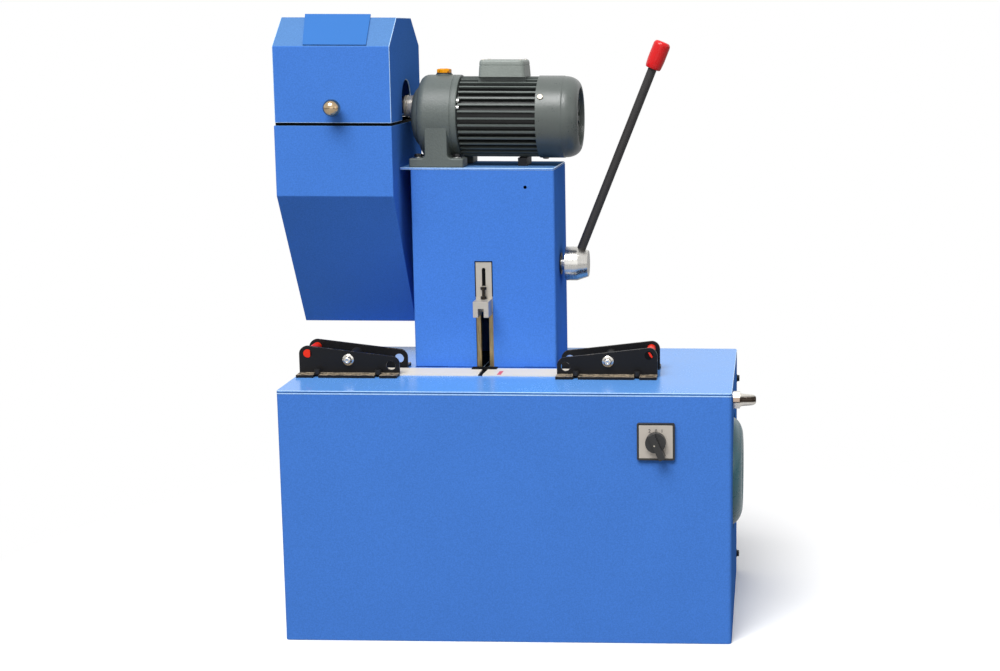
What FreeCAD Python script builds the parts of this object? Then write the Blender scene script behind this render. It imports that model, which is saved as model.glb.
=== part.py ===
import FreeCAD, Part
import math
import os
import Sketcher

# Hose cutting and skiving machine, in millimetres.
# X runs to the operator's right, Y away from the operator, Z up.
# The origin is on the floor, at the middle of the cabinet's footprint.
# A setback is a distance behind the cabinet's front face.

SIZES = {
    # cabinet
    "cabinet_width": 770,
    "cabinet_depth": 390,
    "cabinet_height": 440,
    "wall": 3,
    "bend": 6,
    "table_thick": 5,
    "table_edge": 2,
    "cover_depth": 120,
    "cover_wall": 2,
    "seam": 0.5,
    "post_leg": 30,
    "louvre_width": 120,
    "louvre_height": 8,
    "louvre_pitch": 36,
    "louvre_count": 6,
    # cutting station on the table
    "cut_offset": -65,
    "slot_width": 8,
    "slot_setback": 115,
    "slot_length": 215,
    "strip_depth": 84,
    "strip_thick": 3,
    "throat_width": 45,
    "throat_depth": 13,
    # column
    "column_width": 256,
    "column_depth": 155,
    "column_height": 361,
    "column_setback": 200,
    "column_bend": 4,
    "cap_thick": 4,
    "cap_reach": 19,
    "window_width": 31,
    "window_height": 193,
    "base_notch": 57,
    "base_notch_high": 2,
    "rail_width": 8,
    "rail_depth": 10,
    "rail_length": 285,
    # jaw slide
    "jaw_width": 28,
    "jaw_height": 28,
    "jaw_forward": 37,
    "jaw_notch_width": 10,
    "jaw_notch_height": 15.5,
    "jaw_rest": 98,
    "slide_plate_width": 30,
    "slide_plate_thick": 2.7,
    "slide_slot_width": 6.4,
    "slide_slot_length": 33,
    "running_gap": 0.3,
    "tooth_module": 4,
    "pinion_teeth": 18,
    "pinion_width": 16,
    "rack_teeth": 9,
    "backlash": 0.5,
    # lever
    "lever_setback": 275,
    "lever_height": 180,
    "shaft_radius": 12,
    "running_fit": 0.06,
    "hub_radius": 31,
    "hub_nose_radius": 24,
    "hub_length": 41,
    "hub_gap": 10,
    "rod_radius": 8,
    "rod_lean": 22,
    "rod_length": 390,
    "grip_radius": 15.5,
    "grip_length": 44,
    "bearing_half": 26,
    "bearing_length": 14,
    # hose brackets
    "bracket_plate": 5,
    "bracket_setback": 126,
    "bracket_gap": 59,
    "bracket_inner": 139,
    "bracket_outer": 316,
    "bracket_inner_high": 33,
    "bracket_outer_high": 54,
    "bracket_corner": 15,
    "bracket_foot": 24,
    "bracket_notch": 9,
    "bracket_notch_edge": 35,
    "cross_bolt_reach": 229,
    "cross_bolt_high": 28,
    "cross_bolt_radius": 5,
    "open_hole_radius": 8.3,
    "tie_rod_radius": 7.7,
    "roller_radius": 12,
    # skiving guard
    "guard_right": -212,
    "guard_width": 206,
    "guard_setback": 154,
    "guard_depth": 236,
    "guard_wall": 2,
    "guard_top_drop": 29,
    "guard_fold_drop": 152,
    "guard_bottom_drop": 400,
    "chute_depth": 88,
    "lid_bottom_drop": 24,
    "lid_front_rise": 108,
    "lid_rise": 158,
    "lid_slope": 61,
    "arch_half": 35,
    "arch_rise": 48,
    "hose_hole_radius": 46,
    "lid_plate_width": 113,
    "lid_plate_inset": 45,
    "lid_plate_length": 88,
    "lid_plate_thick": 2.5,
    "knob_radius": 13.5,
    "knob_neck": 7,
    "knob_inset": 101,
    "knob_high": 27,
    "hinge_radius": 4,
    "hinge_width": 120,
    "hinge_leaf": 24,
    # gearmotor
    "motor_setback": 275,
    "motor_height": 87,
    "housing_left": -202,
    "housing_radius": 75,
    "housing_length": 93,
    "foot_centre": -146,
    "foot_width": 96,
    "foot_depth": 146,
    "foot_thick": 16,
    "neck_width": 39,
    "foot_bolt_span": 69,
    "foot_bolt_depth": 112,
    "frame_core": 64,
    "frame_length": 132,
    "fin_thick": 3.2,
    "fin_count": 36,
    "cowl_radius": 74,
    "cowl_length": 85,
    "cowl_round": 17,
    "cowl_wall": 1.5,
    "cowl_overlap": 10,
    "cowl_slots": 10,
    "box_width": 92,
    "box_depth": 80,
    "box_height": 30,
    "spindle_radius": 18,
    "spindle_rise": 18,
    "head_radius": 58,
    "head_thick": 16,
    "mandrel_reach": 64,
    # cutting motor and blade arbor
    "cutter_setback": 165,
    "cutter_height": 262,
    "cutter_core": 82,
    "cutter_length": 215,
    "cutter_fins": 12,
    "cutter_cowl_radius": 97.5,
    "cutter_foot_drop": 105,
    "cutter_cowl_length": 80,
    "cutter_cowl_round": 14,
    "cutter_reach": 16,
    "cutter_hole_gap": 6,
    "core_sides": 36,
    "case_width": 40,
    "case_margin": 45,
    "arbor_setback": 230,
    "arbor_drop": 127,
    "arbor_radius": 12.5,
    "blade_radius": 125,
    "blade_thick": 2.5,
    # switch and fittings
    "switch_offset": 257,
    "switch_height": 357.5,
    "switch_side": 64,
    "switch_thick": 6,
    "switch_neck": 16,
    "switch_cam": 46,
    "switch_knob_radius": 17.3,
    "switch_knob_depth": 10,
    "switch_bar_length": 47,
    "switch_bar_width": 11.5,
    "switch_lean": 24,
    "nipple_setback": 60,
    "nipple_drop": 24,
    "nipple_flats": 27,
    "nipple_length": 40,
}

doc = FreeCAD.newDocument("HoseCutterSkiver")
sheet = doc.addObject("Spreadsheet::Sheet", "Sizes")
for row, (alias, amount) in enumerate(SIZES.items(), start=1):
    sheet.set(f"A{row}", alias)
    sheet.set(f"B{row}", str(amount))
    sheet.setAlias(f"B{row}", alias)
doc.recompute()

UPRIGHT = FreeCAD.Rotation()
ALONG_X = FreeCAD.Rotation(FreeCAD.Vector(0, 1, 0), 90)
ALONG_Y = FreeCAD.Rotation(FreeCAD.Vector(1, 0, 0), -90)
TOWARD_FRONT = FreeCAD.Rotation(FreeCAD.Vector(1, 0, 0), 90)
pieces = []


class Size:
    """A length that carries its number and the sheet formula that gives it."""

    def __init__(self, number, formula):
        self.number = float(number)
        self.formula = formula

    def __add__(self, other):
        other = as_size(other)
        return Size(self.number + other.number, f"({self.formula} + {other.formula})")

    def __sub__(self, other):
        other = as_size(other)
        return Size(self.number - other.number, f"({self.formula} - {other.formula})")

    def __mul__(self, other):
        other = as_size(other)
        return Size(self.number * other.number, f"({self.formula} * {other.formula})")

    def __truediv__(self, other):
        other = as_size(other)
        return Size(self.number / other.number, f"({self.formula} / {other.formula})")

    def __neg__(self):
        return Size(-self.number, f"(-1 * {self.formula})")


def sheet_number(alias):
    """A number read back from the sheet, for the one shape that is drawn in code."""
    return float(sheet.get(alias))


def as_size(value):
    if isinstance(value, Size):
        return value
    return Size(value, repr(float(value)))


def size(alias):
    return Size(SIZES[alias], f"Sizes.{alias}")


def square_root(value):
    return Size(math.sqrt(value.number), f"sqrt({value.formula})")


def sine(angle):
    return Size(math.sin(math.radians(angle.number)), f"sin({angle.formula})")


def cosine(angle):
    return Size(math.cos(math.radians(angle.number)), f"cos({angle.formula})")


def bind(thing, prop, value):
    """Tie a property to the sheet through the value's formula."""
    thing.setExpression(prop, as_size(value).formula)


def place(thing, x=0, y=0, z=0, turn=UPRIGHT):
    thing.Placement = FreeCAD.Placement(FreeCAD.Vector(), turn)
    for letter, value in zip("xyz", (x, y, z)):
        bind(thing, f"Placement.Base.{letter}", value)
    return thing


def keep(thing):
    """Note a finished sub-part: its name is its label and its file's name."""
    thing.Label = thing.Name
    pieces.append(thing)
    return thing


def block(name, length, width, height, x, y, z):
    box = doc.addObject("Part::Box", name)
    bind(box, "Length", length)
    bind(box, "Width", width)
    bind(box, "Height", height)
    return place(box, x, y, z)


def bar(name, radius, length, x, y, z, turn=UPRIGHT):
    rod = doc.addObject("Part::Cylinder", name)
    bind(rod, "Radius", radius)
    bind(rod, "Height", length)
    return place(rod, x, y, z, turn)


def taper(name, radius, end_radius, length, x, y, z, turn=UPRIGHT):
    cone = doc.addObject("Part::Cone", name)
    bind(cone, "Radius1", radius)
    bind(cone, "Radius2", end_radius)
    bind(cone, "Height", length)
    return place(cone, x, y, z, turn)


def hexagon(name, flats, length, x, y, z, turn=UPRIGHT):
    prism = doc.addObject("Part::Prism", name)
    prism.Polygon = 6
    bind(prism, "Circumradius", flats / math.sqrt(3))
    bind(prism, "Height", length)
    return place(prism, x, y, z, turn)


def fuse(name, *parts):
    whole = doc.addObject("Part::MultiFuse", name)
    whole.Shapes = list(parts)
    whole.Refine = True
    return whole


def cut(name, base, *tools):
    tool = tools[0]
    if len(tools) > 1:
        tool = doc.addObject("Part::MultiFuse", name + "_tools")
        tool.Shapes = list(tools)
    whole = doc.addObject("Part::Cut", name)
    whole.Base = base
    whole.Tool = tool
    return whole


def compound(name, *parts):
    """Separate solids kept side by side in one sub-part."""
    group = doc.addObject("Part::Compound", name)
    group.Links = list(parts)
    return group


def new_body(name):
    return doc.addObject("PartDesign::Body", name)


def new_sketch(body, role, level=0):
    """An empty sketch on one of the body's own planes, raised along the plane's normal."""
    sketch = body.newObject("Sketcher::SketchObject", body.Name + "_sketch")
    plane = [feature for feature in body.Origin.OriginFeatures if feature.Role == role][0]
    sketch.AttachmentSupport = [(plane, "")]
    sketch.MapMode = "FlatFace"
    bind(sketch, "AttachmentOffset.Base.z", level)
    return sketch


def add_outline(sketch, corners):
    """A closed outline of straight runs; each corner is held at its two sizes."""
    corners = [(as_size(x), as_size(y)) for x, y in corners]
    first = sketch.GeometryCount
    ends = corners[1:] + corners[:1]
    for (x1, y1), (x2, y2) in zip(corners, ends):
        start = FreeCAD.Vector(x1.number, y1.number, 0)
        end = FreeCAD.Vector(x2.number, y2.number, 0)
        sketch.addGeometry(Part.LineSegment(start, end))
    for step, (x, y) in enumerate(corners):
        line = first + step
        following = first + (step + 1) % len(corners)
        sketch.addConstraint(Sketcher.Constraint("Coincident", line, 2, following, 1))
        for kind, value in (("DistanceX", x), ("DistanceY", y)):
            held = sketch.addConstraint(Sketcher.Constraint(kind, -1, 1, line, 1, value.number))
            sketch.setExpression(f"Constraints[{held}]", value.formula)


def outline(body, role, corners, level=0):
    sketch = new_sketch(body, role, level)
    add_outline(sketch, corners)
    return sketch


def rectangle(x1, y1, x2, y2):
    return [(x1, y1), (x2, y1), (x2, y2), (x1, y2)]


def pad(body, sketch, length):
    feature = body.newObject("PartDesign::Pad", body.Name + "_pad")
    feature.Profile = sketch
    bind(feature, "Length", length)
    doc.recompute()
    return feature


def pocket(body, sketch, length):
    """Cut against the sketch's normal, and make sure that something was cut."""
    before = body.Shape.Volume
    feature = body.newObject("PartDesign::Pocket", body.Name + "_pocket")
    feature.Profile = sketch
    bind(feature, "Length", length)
    doc.recompute()
    if feature.Shape.Volume >= before:
        raise ValueError(f"{feature.Name} cut nothing")
    return feature


def revolve(body, corners):
    """Turn an outline in the XZ plane about the X axis."""
    sketch = outline(body, "XZ_Plane", corners)
    feature = body.newObject("PartDesign::Revolution", body.Name + "_turn")
    feature.Profile = sketch
    feature.ReferenceAxis = (sketch, ["H_Axis"])
    feature.Angle = 360
    doc.recompute()
    return feature


def round_edges(body, chosen, radius):
    """Round the edges of the body's last feature that the chosen test picks."""
    return trim_edges(body, chosen, "Fillet", "Radius", radius)


def bevel_edges(body, chosen, width):
    """Bevel the edges of the body's last feature that the chosen test picks."""
    return trim_edges(body, chosen, "Chamfer", "Size", width)


def trim_edges(body, chosen, kind, prop, value):
    base = body.Tip
    edges = [f"Edge{n}" for n, edge in enumerate(base.Shape.Edges, start=1) if chosen(edge)]
    feature = body.newObject("PartDesign::" + kind, f"{body.Name}_{kind.lower()}")
    feature.Base = (base, edges)
    bind(feature, prop, value)
    doc.recompute()
    return feature


def hollow(body, chosen, wall):
    """Shell the body's last feature inwards, leaving out the faces that the test picks."""
    base = body.Tip
    faces = [f"Face{n}" for n, face in enumerate(base.Shape.Faces, start=1) if chosen(face)]
    feature = body.newObject("PartDesign::Thickness", body.Name + "_shell")
    feature.Base = (base, faces)
    feature.Reversed = True
    feature.Mode = "Skin"
    feature.Join = "Intersection"
    bind(feature, "Value", wall)
    doc.recompute()
    return feature


def polar(body, original, sketch, count):
    pattern = body.newObject("PartDesign::PolarPattern", body.Name + "_ring")
    pattern.Originals = [original]
    pattern.Axis = (sketch, ["N_Axis"])
    pattern.Angle = 360
    bind(pattern, "Occurrences", count)
    body.Tip = pattern
    doc.recompute()
    return pattern


def row_of(body, original, sketch, axis, length, count):
    pattern = body.newObject("PartDesign::LinearPattern", body.Name + "_row")
    pattern.Originals = [original]
    pattern.Direction = (sketch, [axis])
    bind(pattern, "Length", length)
    bind(pattern, "Occurrences", count)
    body.Tip = pattern
    doc.recompute()
    return pattern


def near(a, b):
    return abs(a - as_size(b).number) < 0.01


def along(edge, letter):
    """Whether an edge is straight and runs along X, Y or Z."""
    box = edge.BoundBox
    spans = {"x": box.XLength, "y": box.YLength, "z": box.ZLength}
    return all(value < 0.001 for key, value in spans.items() if key != letter)


# Places that several sub-parts share
cabinet_right = size("cabinet_width") / 2
cabinet_left = -cabinet_right
cabinet_rear = size("cabinet_depth") / 2
cabinet_front = -cabinet_rear
table = size("cabinet_height")
shell_top = table - size("table_thick")
shell_rear = cabinet_rear - size("cover_depth") - size("seam")
cover_front = cabinet_rear - size("cover_depth")
cut_x = size("cut_offset")
column_front = cabinet_front + size("column_setback")
column_rear = column_front + size("column_depth")
column_left = cut_x - size("column_width") / 2 + 1
column_right = column_left + size("column_width")
column_top = table + size("column_height")
cap_bottom = column_top - size("cap_thick")
motor_y = cabinet_front + size("motor_setback")
motor_z = column_top + size("motor_height")
spindle_z = motor_z + size("spindle_rise")
box_top = spindle_z - size("guard_top_drop")
lid_bottom = spindle_z - size("lid_bottom_drop")
lid_front_top = spindle_z + size("lid_front_rise")
lid_top = spindle_z + size("lid_rise")
lever_y = cabinet_front + size("lever_setback")
lever_z = table + size("lever_height")
cutter_y = cabinet_front + size("cutter_setback")
cutter_z = size("cutter_height")
arbor_y = cabinet_front + size("arbor_setback")
arbor_z = table - size("arbor_drop")
guard_right = size("guard_right")
guard_left = guard_right - size("guard_width")
guard_front = cabinet_front + size("guard_setback")
guard_rear = guard_front + size("guard_depth")
strip_top = table + size("strip_thick")
gap = size("running_gap")
fit = size("running_fit")


def u_section(left, right, start, end, wall, opening_at_rear=True):
    """Corners of a channel seen from above, open at the rear or at the front."""
    near_y, far_y, lip = (start, end, start + wall) if opening_at_rear else (end, start, end - wall)
    return [
        (left, near_y), (right, near_y), (right, far_y), (right - wall, far_y),
        (right - wall, lip), (left + wall, lip), (left + wall, far_y), (left, far_y),
    ]


# Cabinet

def cabinet_shell():
    """Front and side walls in one bent sheet, with the floor and the fittings' holes."""
    wall = size("wall")
    body = new_body("cabinet_wrap")
    corners = u_section(cabinet_left, cabinet_right, cabinet_front, shell_rear, wall)
    pad(body, outline(body, "XY_Plane", corners), shell_top)
    round_edges(body, lambda e: along(e, "z") and near(e.CenterOfMass.y, cabinet_front), size("bend"))
    inner = cabinet_front + wall
    round_edges(body, lambda e: along(e, "z") and near(e.CenterOfMass.y, inner), size("bend") - wall)
    floor = rectangle(cabinet_left + wall, cabinet_front + wall, cabinet_right - wall, cabinet_rear - wall)
    pad(body, outline(body, "XY_Plane", floor), wall)
    through = wall + 2
    motor_hole = size("cutter_cowl_radius") + size("cutter_hole_gap")
    inside = cabinet_right - wall - 1
    nipple_y = cabinet_front + size("nipple_setback")
    neck = size("switch_neck") + 0.4
    return keep(cut(
        "cabinet_shell", body,
        bar("shell_motor_hole", motor_hole, through, inside, cutter_y, cutter_z, ALONG_X),
        bar("shell_nipple_hole", 7.2, through, inside, nipple_y, table - size("nipple_drop"), ALONG_X),
        block("shell_switch_hole", neck, through, neck, size("switch_offset") - neck / 2, cabinet_front - 1,
              size("switch_height") - neck / 2),
    ))


def rear_cover():
    """Rear channel with two columns of louvre slots."""
    wall = size("cover_wall")
    body = new_body("rear_cover")
    corners = u_section(cabinet_left, cabinet_right, cover_front, cabinet_rear, wall, False)
    pad(body, outline(body, "XY_Plane", corners), shell_top)
    round_edges(body, lambda e: along(e, "z") and near(e.CenterOfMass.y, cabinet_rear), size("bend"))
    inner = cabinet_rear - wall
    round_edges(body, lambda e: along(e, "z") and near(e.CenterOfMass.y, inner), size("bend") - wall)
    low = shell_top / 4
    sketch = new_sketch(body, "XZ_Plane", -(cabinet_rear - wall - 1))
    for side in (-1, 1):
        middle = cabinet_right * side / 2
        half = size("louvre_width") / 2
        add_outline(sketch, rectangle(middle - half, low, middle + half, low + size("louvre_height")))
    slots = pocket(body, sketch, wall + 2)
    rows = size("louvre_count")
    row_of(body, slots, sketch, "V_Axis", size("louvre_pitch") * (rows - 1), rows)
    return keep(body)


def cover_posts():
    """Two angle posts inside the rear corners that carry the rear cover."""
    leg = size("post_leg")
    wall = size("wall")
    y = cabinet_rear - size("cover_wall")
    posts = []
    for side in (-1, 1):
        body = new_body("post_left" if side < 0 else "post_right")
        x = (cabinet_right - size("cover_wall")) * side
        corners = [(x, y), (x, y - leg), (x - wall * side, y - leg), (x - wall * side, y - wall),
                   (x - leg * side, y - wall), (x - leg * side, y)]
        pad(body, outline(body, "XY_Plane", corners, wall), shell_top - wall)
        at_corner = lambda e: (along(e, "z") and near(e.CenterOfMass.x, x) and near(e.CenterOfMass.y, y))
        round_edges(body, at_corner, size("bend") - 1)
        posts.append(body)
    return keep(fuse("cover_posts", *posts))


def table_plate():
    """Table top with rounded corners and the blade slot."""
    thick = size("table_thick")
    body = new_body("table_top")
    corners = rectangle(cabinet_left, cabinet_front, cabinet_right, cabinet_rear)
    pad(body, outline(body, "XY_Plane", corners, table - thick), thick)
    round_edges(body, lambda e: along(e, "z"), size("bend"))
    slot_front = cabinet_front + size("slot_setback")
    slot = block("table_slot", size("slot_width"), size("slot_length"), thick + 2,
                 cut_x - size("slot_width") / 2, slot_front, table - thick - 1)
    return keep(cut("table_plate", body, slot))


def bracket_rows():
    """Front face of the front plate and of the rear plate."""
    front = cabinet_front + size("bracket_setback")
    return front, front + size("bracket_plate") + size("bracket_gap")


def foot_screw_reaches():
    """Distances of a bracket's two foot screws from the blade."""
    edge = size("bracket_notch_edge")
    return size("bracket_inner") + edge, size("bracket_outer") - edge


def slotted_plate(name, half, depth, thick, level, front):
    """A flat plate on the table with the blade slot open at its front edge."""
    body = new_body(name)
    slot = size("slot_width") / 2
    end = front + depth - 3
    corners = [
        (cut_x - half, front), (cut_x - slot, front), (cut_x - slot, end), (cut_x + slot, end),
        (cut_x + slot, front), (cut_x + half, front), (cut_x + half, front + depth),
        (cut_x - half, front + depth),
    ]
    pad(body, outline(body, "XY_Plane", corners, level), thick)
    return keep(body)


def wear_strip():
    """White strip between the brackets that the hose lies on."""
    front = cabinet_front + size("slot_setback")
    half = size("bracket_inner") - gap
    return slotted_plate("wear_strip", half, size("strip_depth"), size("strip_thick"), table, front)


def throat_plate():
    """Small black plate on the strip at the foot of the column's window."""
    depth = size("throat_depth")
    half = size("throat_width") / 2
    return slotted_plate("throat_plate", half, depth, 3, strip_top, column_front - 1 - depth)


# Column

def column_shell():
    """Folded column with the slide window, the shaft hole and the clearance slits at its base."""
    wall = size("wall")
    body = new_body("column_wrap")
    corners = u_section(column_left, column_right, column_front, column_rear - 2, wall)
    pad(body, outline(body, "XY_Plane", corners, table), cap_bottom - table)
    at_front = lambda e: along(e, "z") and near(e.CenterOfMass.y, column_front)
    round_edges(body, at_front, size("column_bend"))
    for x in (column_left + wall, column_right - wall - 25):
        flange = rectangle(x, column_front + wall, x + 25, column_rear - 2)
        pad(body, outline(body, "XY_Plane", flange, table), wall)
    width = size("window_width")
    notch = size("base_notch")
    high = size("base_notch_high")
    deep = wall + 2
    low = table - 1
    before = column_front - 1
    shaft_hole = size("shaft_radius") + 3
    return keep(cut(
        "column_shell", body,
        block("column_window", width, deep, size("window_height") + 1, cut_x - width / 2, before, low),
        block("column_slit_left", notch, wall, high + 1, column_left + 2, before, low),
        block("column_slit_right", notch, wall, high + 1, column_right - notch - 2, before, low),
        bar("column_small_hole", 3, deep, cut_x + 77, before, column_top - 34, ALONG_Y),
        bar("column_shaft_hole", shaft_hole, deep, column_right - wall - 1, lever_y, lever_z, ALONG_X),
    ))


def column_rear_cover():
    """Flat rear cover of the column with folded side edges."""
    body = new_body("column_rear_cover")
    corners = rectangle(column_left, column_rear - 2, column_right, column_rear)
    pad(body, outline(body, "XY_Plane", corners, table), cap_bottom - table)
    round_edges(body, lambda e: along(e, "z") and near(e.CenterOfMass.y, column_rear), 1.5)
    return keep(body)


def column_cap():
    """Top plate of the column, which reaches out to the guard and carries the gearmotor."""
    body = new_body("column_cap")
    corners = rectangle(column_left - size("cap_reach"), column_front, column_right, column_rear)
    pad(body, outline(body, "XY_Plane", corners, cap_bottom), size("cap_thick"))
    round_edges(body, lambda e: along(e, "z"), size("column_bend"))
    return keep(body)


def guide_rails():
    """Two flat steel rails behind the window, standing on the table."""
    width = size("rail_width")
    depth = size("rail_depth")
    length = size("rail_length")
    y = column_front + size("wall")
    half_gap = size("window_width") / 2 - width
    left = block("rail_left", width, depth, length, cut_x - half_gap - width, y, table)
    right = block("rail_right", width, depth, length, cut_x + half_gap, y, table)
    return keep(fuse("guide_rails", left, right))


# Jaw slide: the plate, jaw, carriage and rack move down together

jaw_bottom = table + size("jaw_rest")
jaw_top = jaw_bottom + size("jaw_height")
plate_rear = column_front + size("wall") - gap
plate_front = plate_rear - size("slide_plate_thick")
window_top = table + size("window_height")
rail_rear = column_front + size("wall") + size("rail_depth")
pitch_radius = size("tooth_module") * size("pinion_teeth") / 2
rack_pitch_y = lever_y - pitch_radius
rack_root_y = rack_pitch_y - size("tooth_module") * 1.25
carriage_bottom = jaw_bottom + 10
rack_low = lever_z - size("tooth_module") * math.pi * 2.5


def slide_plate():
    """Steel plate in the column's window with its narrow upright slot."""
    half = size("slide_plate_width") / 2
    slot = size("slide_slot_width") / 2
    body = new_body("slide_sheet")
    top = window_top - gap
    corners = rectangle(cut_x - half, jaw_bottom + 4, cut_x + half, top)
    pad(body, outline(body, "XZ_Plane", corners, -plate_rear), size("slide_plate_thick"))
    slot_top = top - 11 - slot
    low = slot_top + slot - size("slide_slot_length")
    return keep(cut(
        "slide_plate", body,
        block("slide_slot", slot * 2, 10, slot_top - low, cut_x - slot, plate_front - 1, low),
        bar("slide_slot_end", slot, 10, cut_x, plate_front - 1, slot_top, ALONG_Y),
    ))


def jaw_block():
    """Pressing jaw with the notch that straddles the blade."""
    deep = size("jaw_forward")
    body = new_body("jaw_block")
    left = cut_x - size("jaw_width") / 2
    right = left + size("jaw_width")
    notch_left = cut_x - size("jaw_notch_width") / 2
    notch_right = cut_x + size("jaw_notch_width") / 2
    notch_top = jaw_bottom + size("jaw_notch_height")
    corners = [
        (left, jaw_bottom), (notch_left, jaw_bottom), (notch_left, notch_top), (notch_right, notch_top),
        (notch_right, jaw_bottom), (right, jaw_bottom), (right, jaw_top), (left, jaw_top),
    ]
    pad(body, outline(body, "XZ_Plane", corners, -plate_front), deep)
    bevel_edges(body, lambda e: along(e, "z") and near(e.CenterOfMass.y, plate_front - deep), 0.6)
    return keep(body)


def jaw_carriage():
    """Tongue between the rails, back bar behind them and the straight-sided rack teeth."""
    tongue = size("window_width") / 2 - size("rail_width") - gap
    tongue_front = column_front + size("wall") + gap
    top = table + size("rail_length") - 12
    body = new_body("jaw_carriage")
    corners = rectangle(cut_x - tongue, tongue_front, cut_x + tongue, rail_rear + gap)
    pad(body, outline(body, "XY_Plane", corners, carriage_bottom), top - carriage_bottom)
    seat = rectangle(cut_x - tongue, plate_rear, cut_x + tongue, tongue_front)
    pad(body, outline(body, "XY_Plane", seat, carriage_bottom), window_top - gap - carriage_bottom)
    half = size("window_width") / 2 - 1.5
    bar_corners = rectangle(cut_x - half, rail_rear + gap, cut_x + half, rack_root_y)
    pad(body, outline(body, "XY_Plane", bar_corners, carriage_bottom), top - carriage_bottom)
    module = size("tooth_module")
    pitch = module * math.pi
    slope = math.tan(math.radians(20))
    tip_y = rack_pitch_y + module
    tooth_half = pitch / 4 - size("backlash") / 2
    root_half = tooth_half + module * 1.25 * slope
    tip_half = tooth_half - module * slope
    start = rack_low + pitch / 2
    rack_half = size("pinion_width") / 2 - 1
    sketch = outline(body, "YZ_Plane", [
        (rack_root_y - 1, start - root_half), (rack_root_y, start - root_half), (tip_y, start - tip_half),
        (tip_y, start + tip_half), (rack_root_y, start + root_half), (rack_root_y - 1, start + root_half),
    ], cut_x - rack_half)
    tooth = pad(body, sketch, rack_half * 2)
    teeth = size("rack_teeth")
    row_of(body, tooth, sketch, "V_Axis", pitch * (teeth - 1), teeth)
    return keep(body)


def slide_bolt():
    """Upright clamping bolt on top of the jaw, in front of the plate's slot."""
    y = plate_front - 5.5
    flats = as_size(9.5)
    return keep(fuse(
        "slide_bolt",
        hexagon("slide_nut", flats, 5, cut_x, y, jaw_top),
        bar("slide_stud", 2.6, 20, cut_x, y, jaw_top),
        hexagon("slide_head", flats, 5, cut_x, y, jaw_top + 17),
    ))


# Lever

hub_left = column_right + size("hub_gap")
hub_right = hub_left + size("hub_length")
shaft_left = column_left + size("wall") + 2
lean = size("rod_lean")
rod_x = hub_left + 17


def lever_bearings():
    """Two bored bearing blocks on the inner faces of the column's side walls."""
    wall = size("wall")
    length = size("bearing_length")
    half = size("bearing_half")
    bearings = []
    for side, x in (("left", column_left + wall), ("right", column_right - wall - length)):
        solid = block(f"bearing_{side}_block", length, half * 2, half * 2, x, lever_y - half, lever_z - half)
        bore = bar(f"bearing_{side}_bore", size("shaft_radius") + fit, length + 2, x - 1, lever_y, lever_z,
                   ALONG_X)
        bearings.append(cut(f"bearing_{side}", solid, bore))
    return keep(fuse("lever_bearings", *bearings))


def lever_shaft():
    """Cross shaft turned in one piece with the tapered hub, with the pinion cut on it."""
    shaft = size("shaft_radius")
    radius = size("hub_radius")
    length = size("hub_length")
    start = hub_left - shaft_left
    body = new_body("shaft_turned")
    revolve(body, [
        (0, 0), (0, shaft), (start, shaft), (start, radius), (start + length * 0.5, radius),
        (start + length, size("hub_nose_radius")), (start + length, 0),
    ])
    place(body, shaft_left, lever_y, lever_z)
    rod_hole = lever_rod_bar("hub_rod_hole", size("rod_radius"), shaft + 1, 40)
    return keep(cut("lever_shaft", fuse("shaft_with_pinion", body, lever_pinion()), rod_hole))


def involute_gear(name, module, teeth, width, backlash):
    """A spur gear about Z with involute flanks at 20 degrees between its root and tip arcs."""
    pitch = module * teeth / 2
    base = pitch * math.cos(math.radians(20))
    tip = pitch + module
    root = pitch - 1.25 * module
    half = math.pi / (2 * teeth) - backlash / (4 * pitch)
    roll = math.tan(math.radians(20)) - math.radians(20)

    def point(radius, angle):
        return FreeCAD.Vector(radius * math.cos(angle), radius * math.sin(angle), 0)

    def flank(centre, side):
        """An arc through three points of the involute, from the base circle to the tip."""
        points = []
        for radius in (base, (base + tip) / 2, tip):
            opening = math.acos(min(1.0, base / radius))
            points.append(point(radius, centre - side * (half + roll - (math.tan(opening) - opening))))
        return points

    edges = []
    for tooth in range(teeth):
        centre = 2 * math.pi * tooth / teeth
        low, high = centre - (half + roll), centre + (half + roll)
        following = low + 2 * math.pi / teeth
        rising, falling = flank(centre, 1), flank(centre, -1)
        edges += [
            Part.LineSegment(point(root, low), rising[0]),
            Part.Arc(*rising),
            Part.Arc(rising[2], point(tip, centre), falling[2]),
            Part.Arc(*falling),
            Part.LineSegment(falling[0], point(root, high)),
            Part.Arc(point(root, high), point(root, (high + following) / 2), point(root, following)),
        ]
    wire = Part.Wire(Part.__sortEdges__([edge.toShape() for edge in edges]))
    gear = doc.addObject("Part::Feature", name)
    gear.Shape = Part.Face(wire).extrude(FreeCAD.Vector(0, 0, width))
    return gear


def lever_pinion():
    """Pinion of the cross shaft; a tooth gap faces the rack at rest."""
    teeth = int(sheet_number("pinion_teeth"))
    gear = involute_gear("pinion_teeth_form", sheet_number("tooth_module"), teeth,
                         sheet_number("pinion_width"), sheet_number("backlash"))
    turn = FreeCAD.Rotation(FreeCAD.Vector(1, 0, 0), 180 / teeth - 90).multiply(ALONG_X)
    return place(gear, cut_x - size("pinion_width") / 2, lever_y, lever_z, turn)


def lever_rod_bar(name, radius, start, length):
    """A round bar on the lever's leaning centre line."""
    turn = FreeCAD.Rotation(FreeCAD.Vector(0, 1, 0), SIZES["rod_lean"])
    rod = bar(name, radius, length, rod_x + sine(lean) * start, lever_y, lever_z + cosine(lean) * start, turn)
    bind(rod, "Placement.Rotation.Angle", lean)
    return rod


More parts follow.
